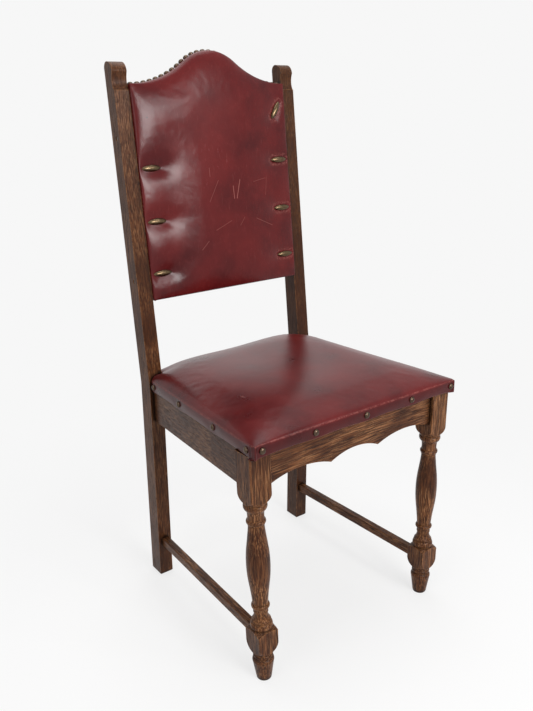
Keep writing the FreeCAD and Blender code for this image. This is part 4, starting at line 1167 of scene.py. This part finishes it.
def lamps():
    for name, (place, target, size, power) in LAMPS.items():
        light = bpy.data.lights.new(name, "AREA")
        light.shape = "RECTANGLE"
        light.size, light.size_y = size
        light.energy = power
        lamp = linked(name, light)
        lamp.location = place
        direction = Vector(target) - Vector(place)
        lamp.rotation_euler = direction.to_track_quat("-Z", "Y").to_euler()


def camera():
    """The camera of the photograph, found from the straight edges of the chair."""
    level = math.cos(CAMERA_ELEVATION)
    back = Vector((math.sin(CAMERA_AZIMUTH) * level, -math.cos(CAMERA_AZIMUTH) * level,
                   math.sin(CAMERA_ELEVATION)))
    right = Vector((-back.y, back.x, 0)).normalized()
    up = back.cross(right)
    rolled_right = right * math.cos(CAMERA_ROLL) + up * math.sin(CAMERA_ROLL)
    rolled_up = -right * math.sin(CAMERA_ROLL) + up * math.cos(CAMERA_ROLL)
    eye = bpy.data.cameras.new("camera")
    eye.sensor_width = SENSOR_WIDTH
    eye.lens = FOCAL_PIXELS * eye.sensor_width / LONG_SIDE_PIXELS
    eye.clip_start = 0.05
    turn = Matrix((rolled_right, rolled_up, back)).transposed().to_4x4()
    holder = linked("camera", eye)
    holder.matrix_world = Matrix.Translation(CAMERA_PLACE) @ turn
    bpy.context.scene.camera = holder


camera()
floor()
backdrop()
lamps()

# Putting the chair together

PANEL_NORMAL = (0, -math.cos(RAKE), math.sin(RAKE))
SCRATCH_DEPTH = -13 * MM
# The lost stud's hole, painted on the back leather as a spot of shade.
LOST_STUD = lean_back(-148 * MM, -12 * MM, 496 * MM)
LOST_STUD_HOLE = 1.8 * MM

# The ends of each scratch on the panel in mm, its width in mm and its strength
BACK_SCRATCHES = (
    ((19, 364), (20, 340), 0.9, 0.45), ((36, 375), (26, 340), 0.9, 0.5),
    ((101, 374), (70, 369), 0.8, 0.13), ((71, 297), (112, 279), 0.8, 0.22),
    ((-47, 264), (-63, 249), 0.8, 0.22), ((-28, 283), (9, 298), 0.8, 0.15),
    ((41, 302), (29, 287), 0.8, 0.15), ((105, 376), (100, 341), 0.8, 0.12),
    ((-14, 377), (-37, 338), 0.8, 0.15), ((-32, 401), (-32, 385), 0.8, 0.18),
)
SEAT_SCRATCH = (Vector((-152 * MM, LEG_Y + 107 * MM, 482 * MM)),
                Vector((-148 * MM, LEG_Y + 83 * MM, 480 * MM)), 1.0 * MM, 0.4)


def panel_scratches():
    marks = []
    for first, last, width, strength in BACK_SCRATCHES:
        ends = [lean_back(x * MM, SCRATCH_DEPTH, z * MM) for x, z in (first, last)]
        marks.append((*ends, width * MM, strength))
    return marks


dress_frame()
leather_back = leather("leather_back", (1, 1, 0.4), 0.9, 0.19, PANEL_NORMAL, panel_scratches(),
                       [(LOST_STUD, LOST_STUD_HOLE)])
leather_seat = leather("leather_seat", (0.4, 1, 1), 0.35, 0.27, UP, [SEAT_SCRATCH])
leather_outside = leather("leather_outside", (1, 1, 0.4), 0.6, 0.3, UP)
bronze = metal("nail_bronze", linear(52, 42, 35), linear(98, 82, 68), 0.26, 0.14)
brass = metal("rubbed_brass", linear(60, 48, 36), linear(114, 96, 72), 0.22, 0.14)
hessian_colours = (linear(72, 56, 36), linear(136, 112, 78), linear(66, 54, 40))
hessian = woven("hessian", 420, 2.0, hessian_colours, (18, 4, 0.42, 0.5), 0.95, (0.6, 0.5 * MM))

soft_pieces = (
    (seat_leather(leather_seat, hessian), ("seat_cover", "seat_pad"), 0.8),
    (back_leather(leather_back, hessian), ("back_cover", "back_pad"), 0.7),
)
for piece, nodes, fill in soft_pieces:
    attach(piece, "root")
    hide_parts(*nodes)

seat_nails = nail_heads("seat_nail_heads", bronze, seat_nail_places(), SEAT_NAIL_RADIUS)
crest_nails = nail_heads("crest_nail_heads", bronze, crest_nail_places(), CREST_NAIL_RADIUS)
metal_pieces = (
    (seat_nails, "seat_nails", "nail_metal"),
    (crest_nails, "crest_nails", "stud_metal"),
    (oval_studs(brass), "back_studs", "stud_metal"),
)
for piece, node, slot in metal_pieces:
    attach(piece, "root")
    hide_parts(node)

dress("back_outside_cover", leather_outside)

bpy.context.scene.view_settings.view_transform = "Standard"
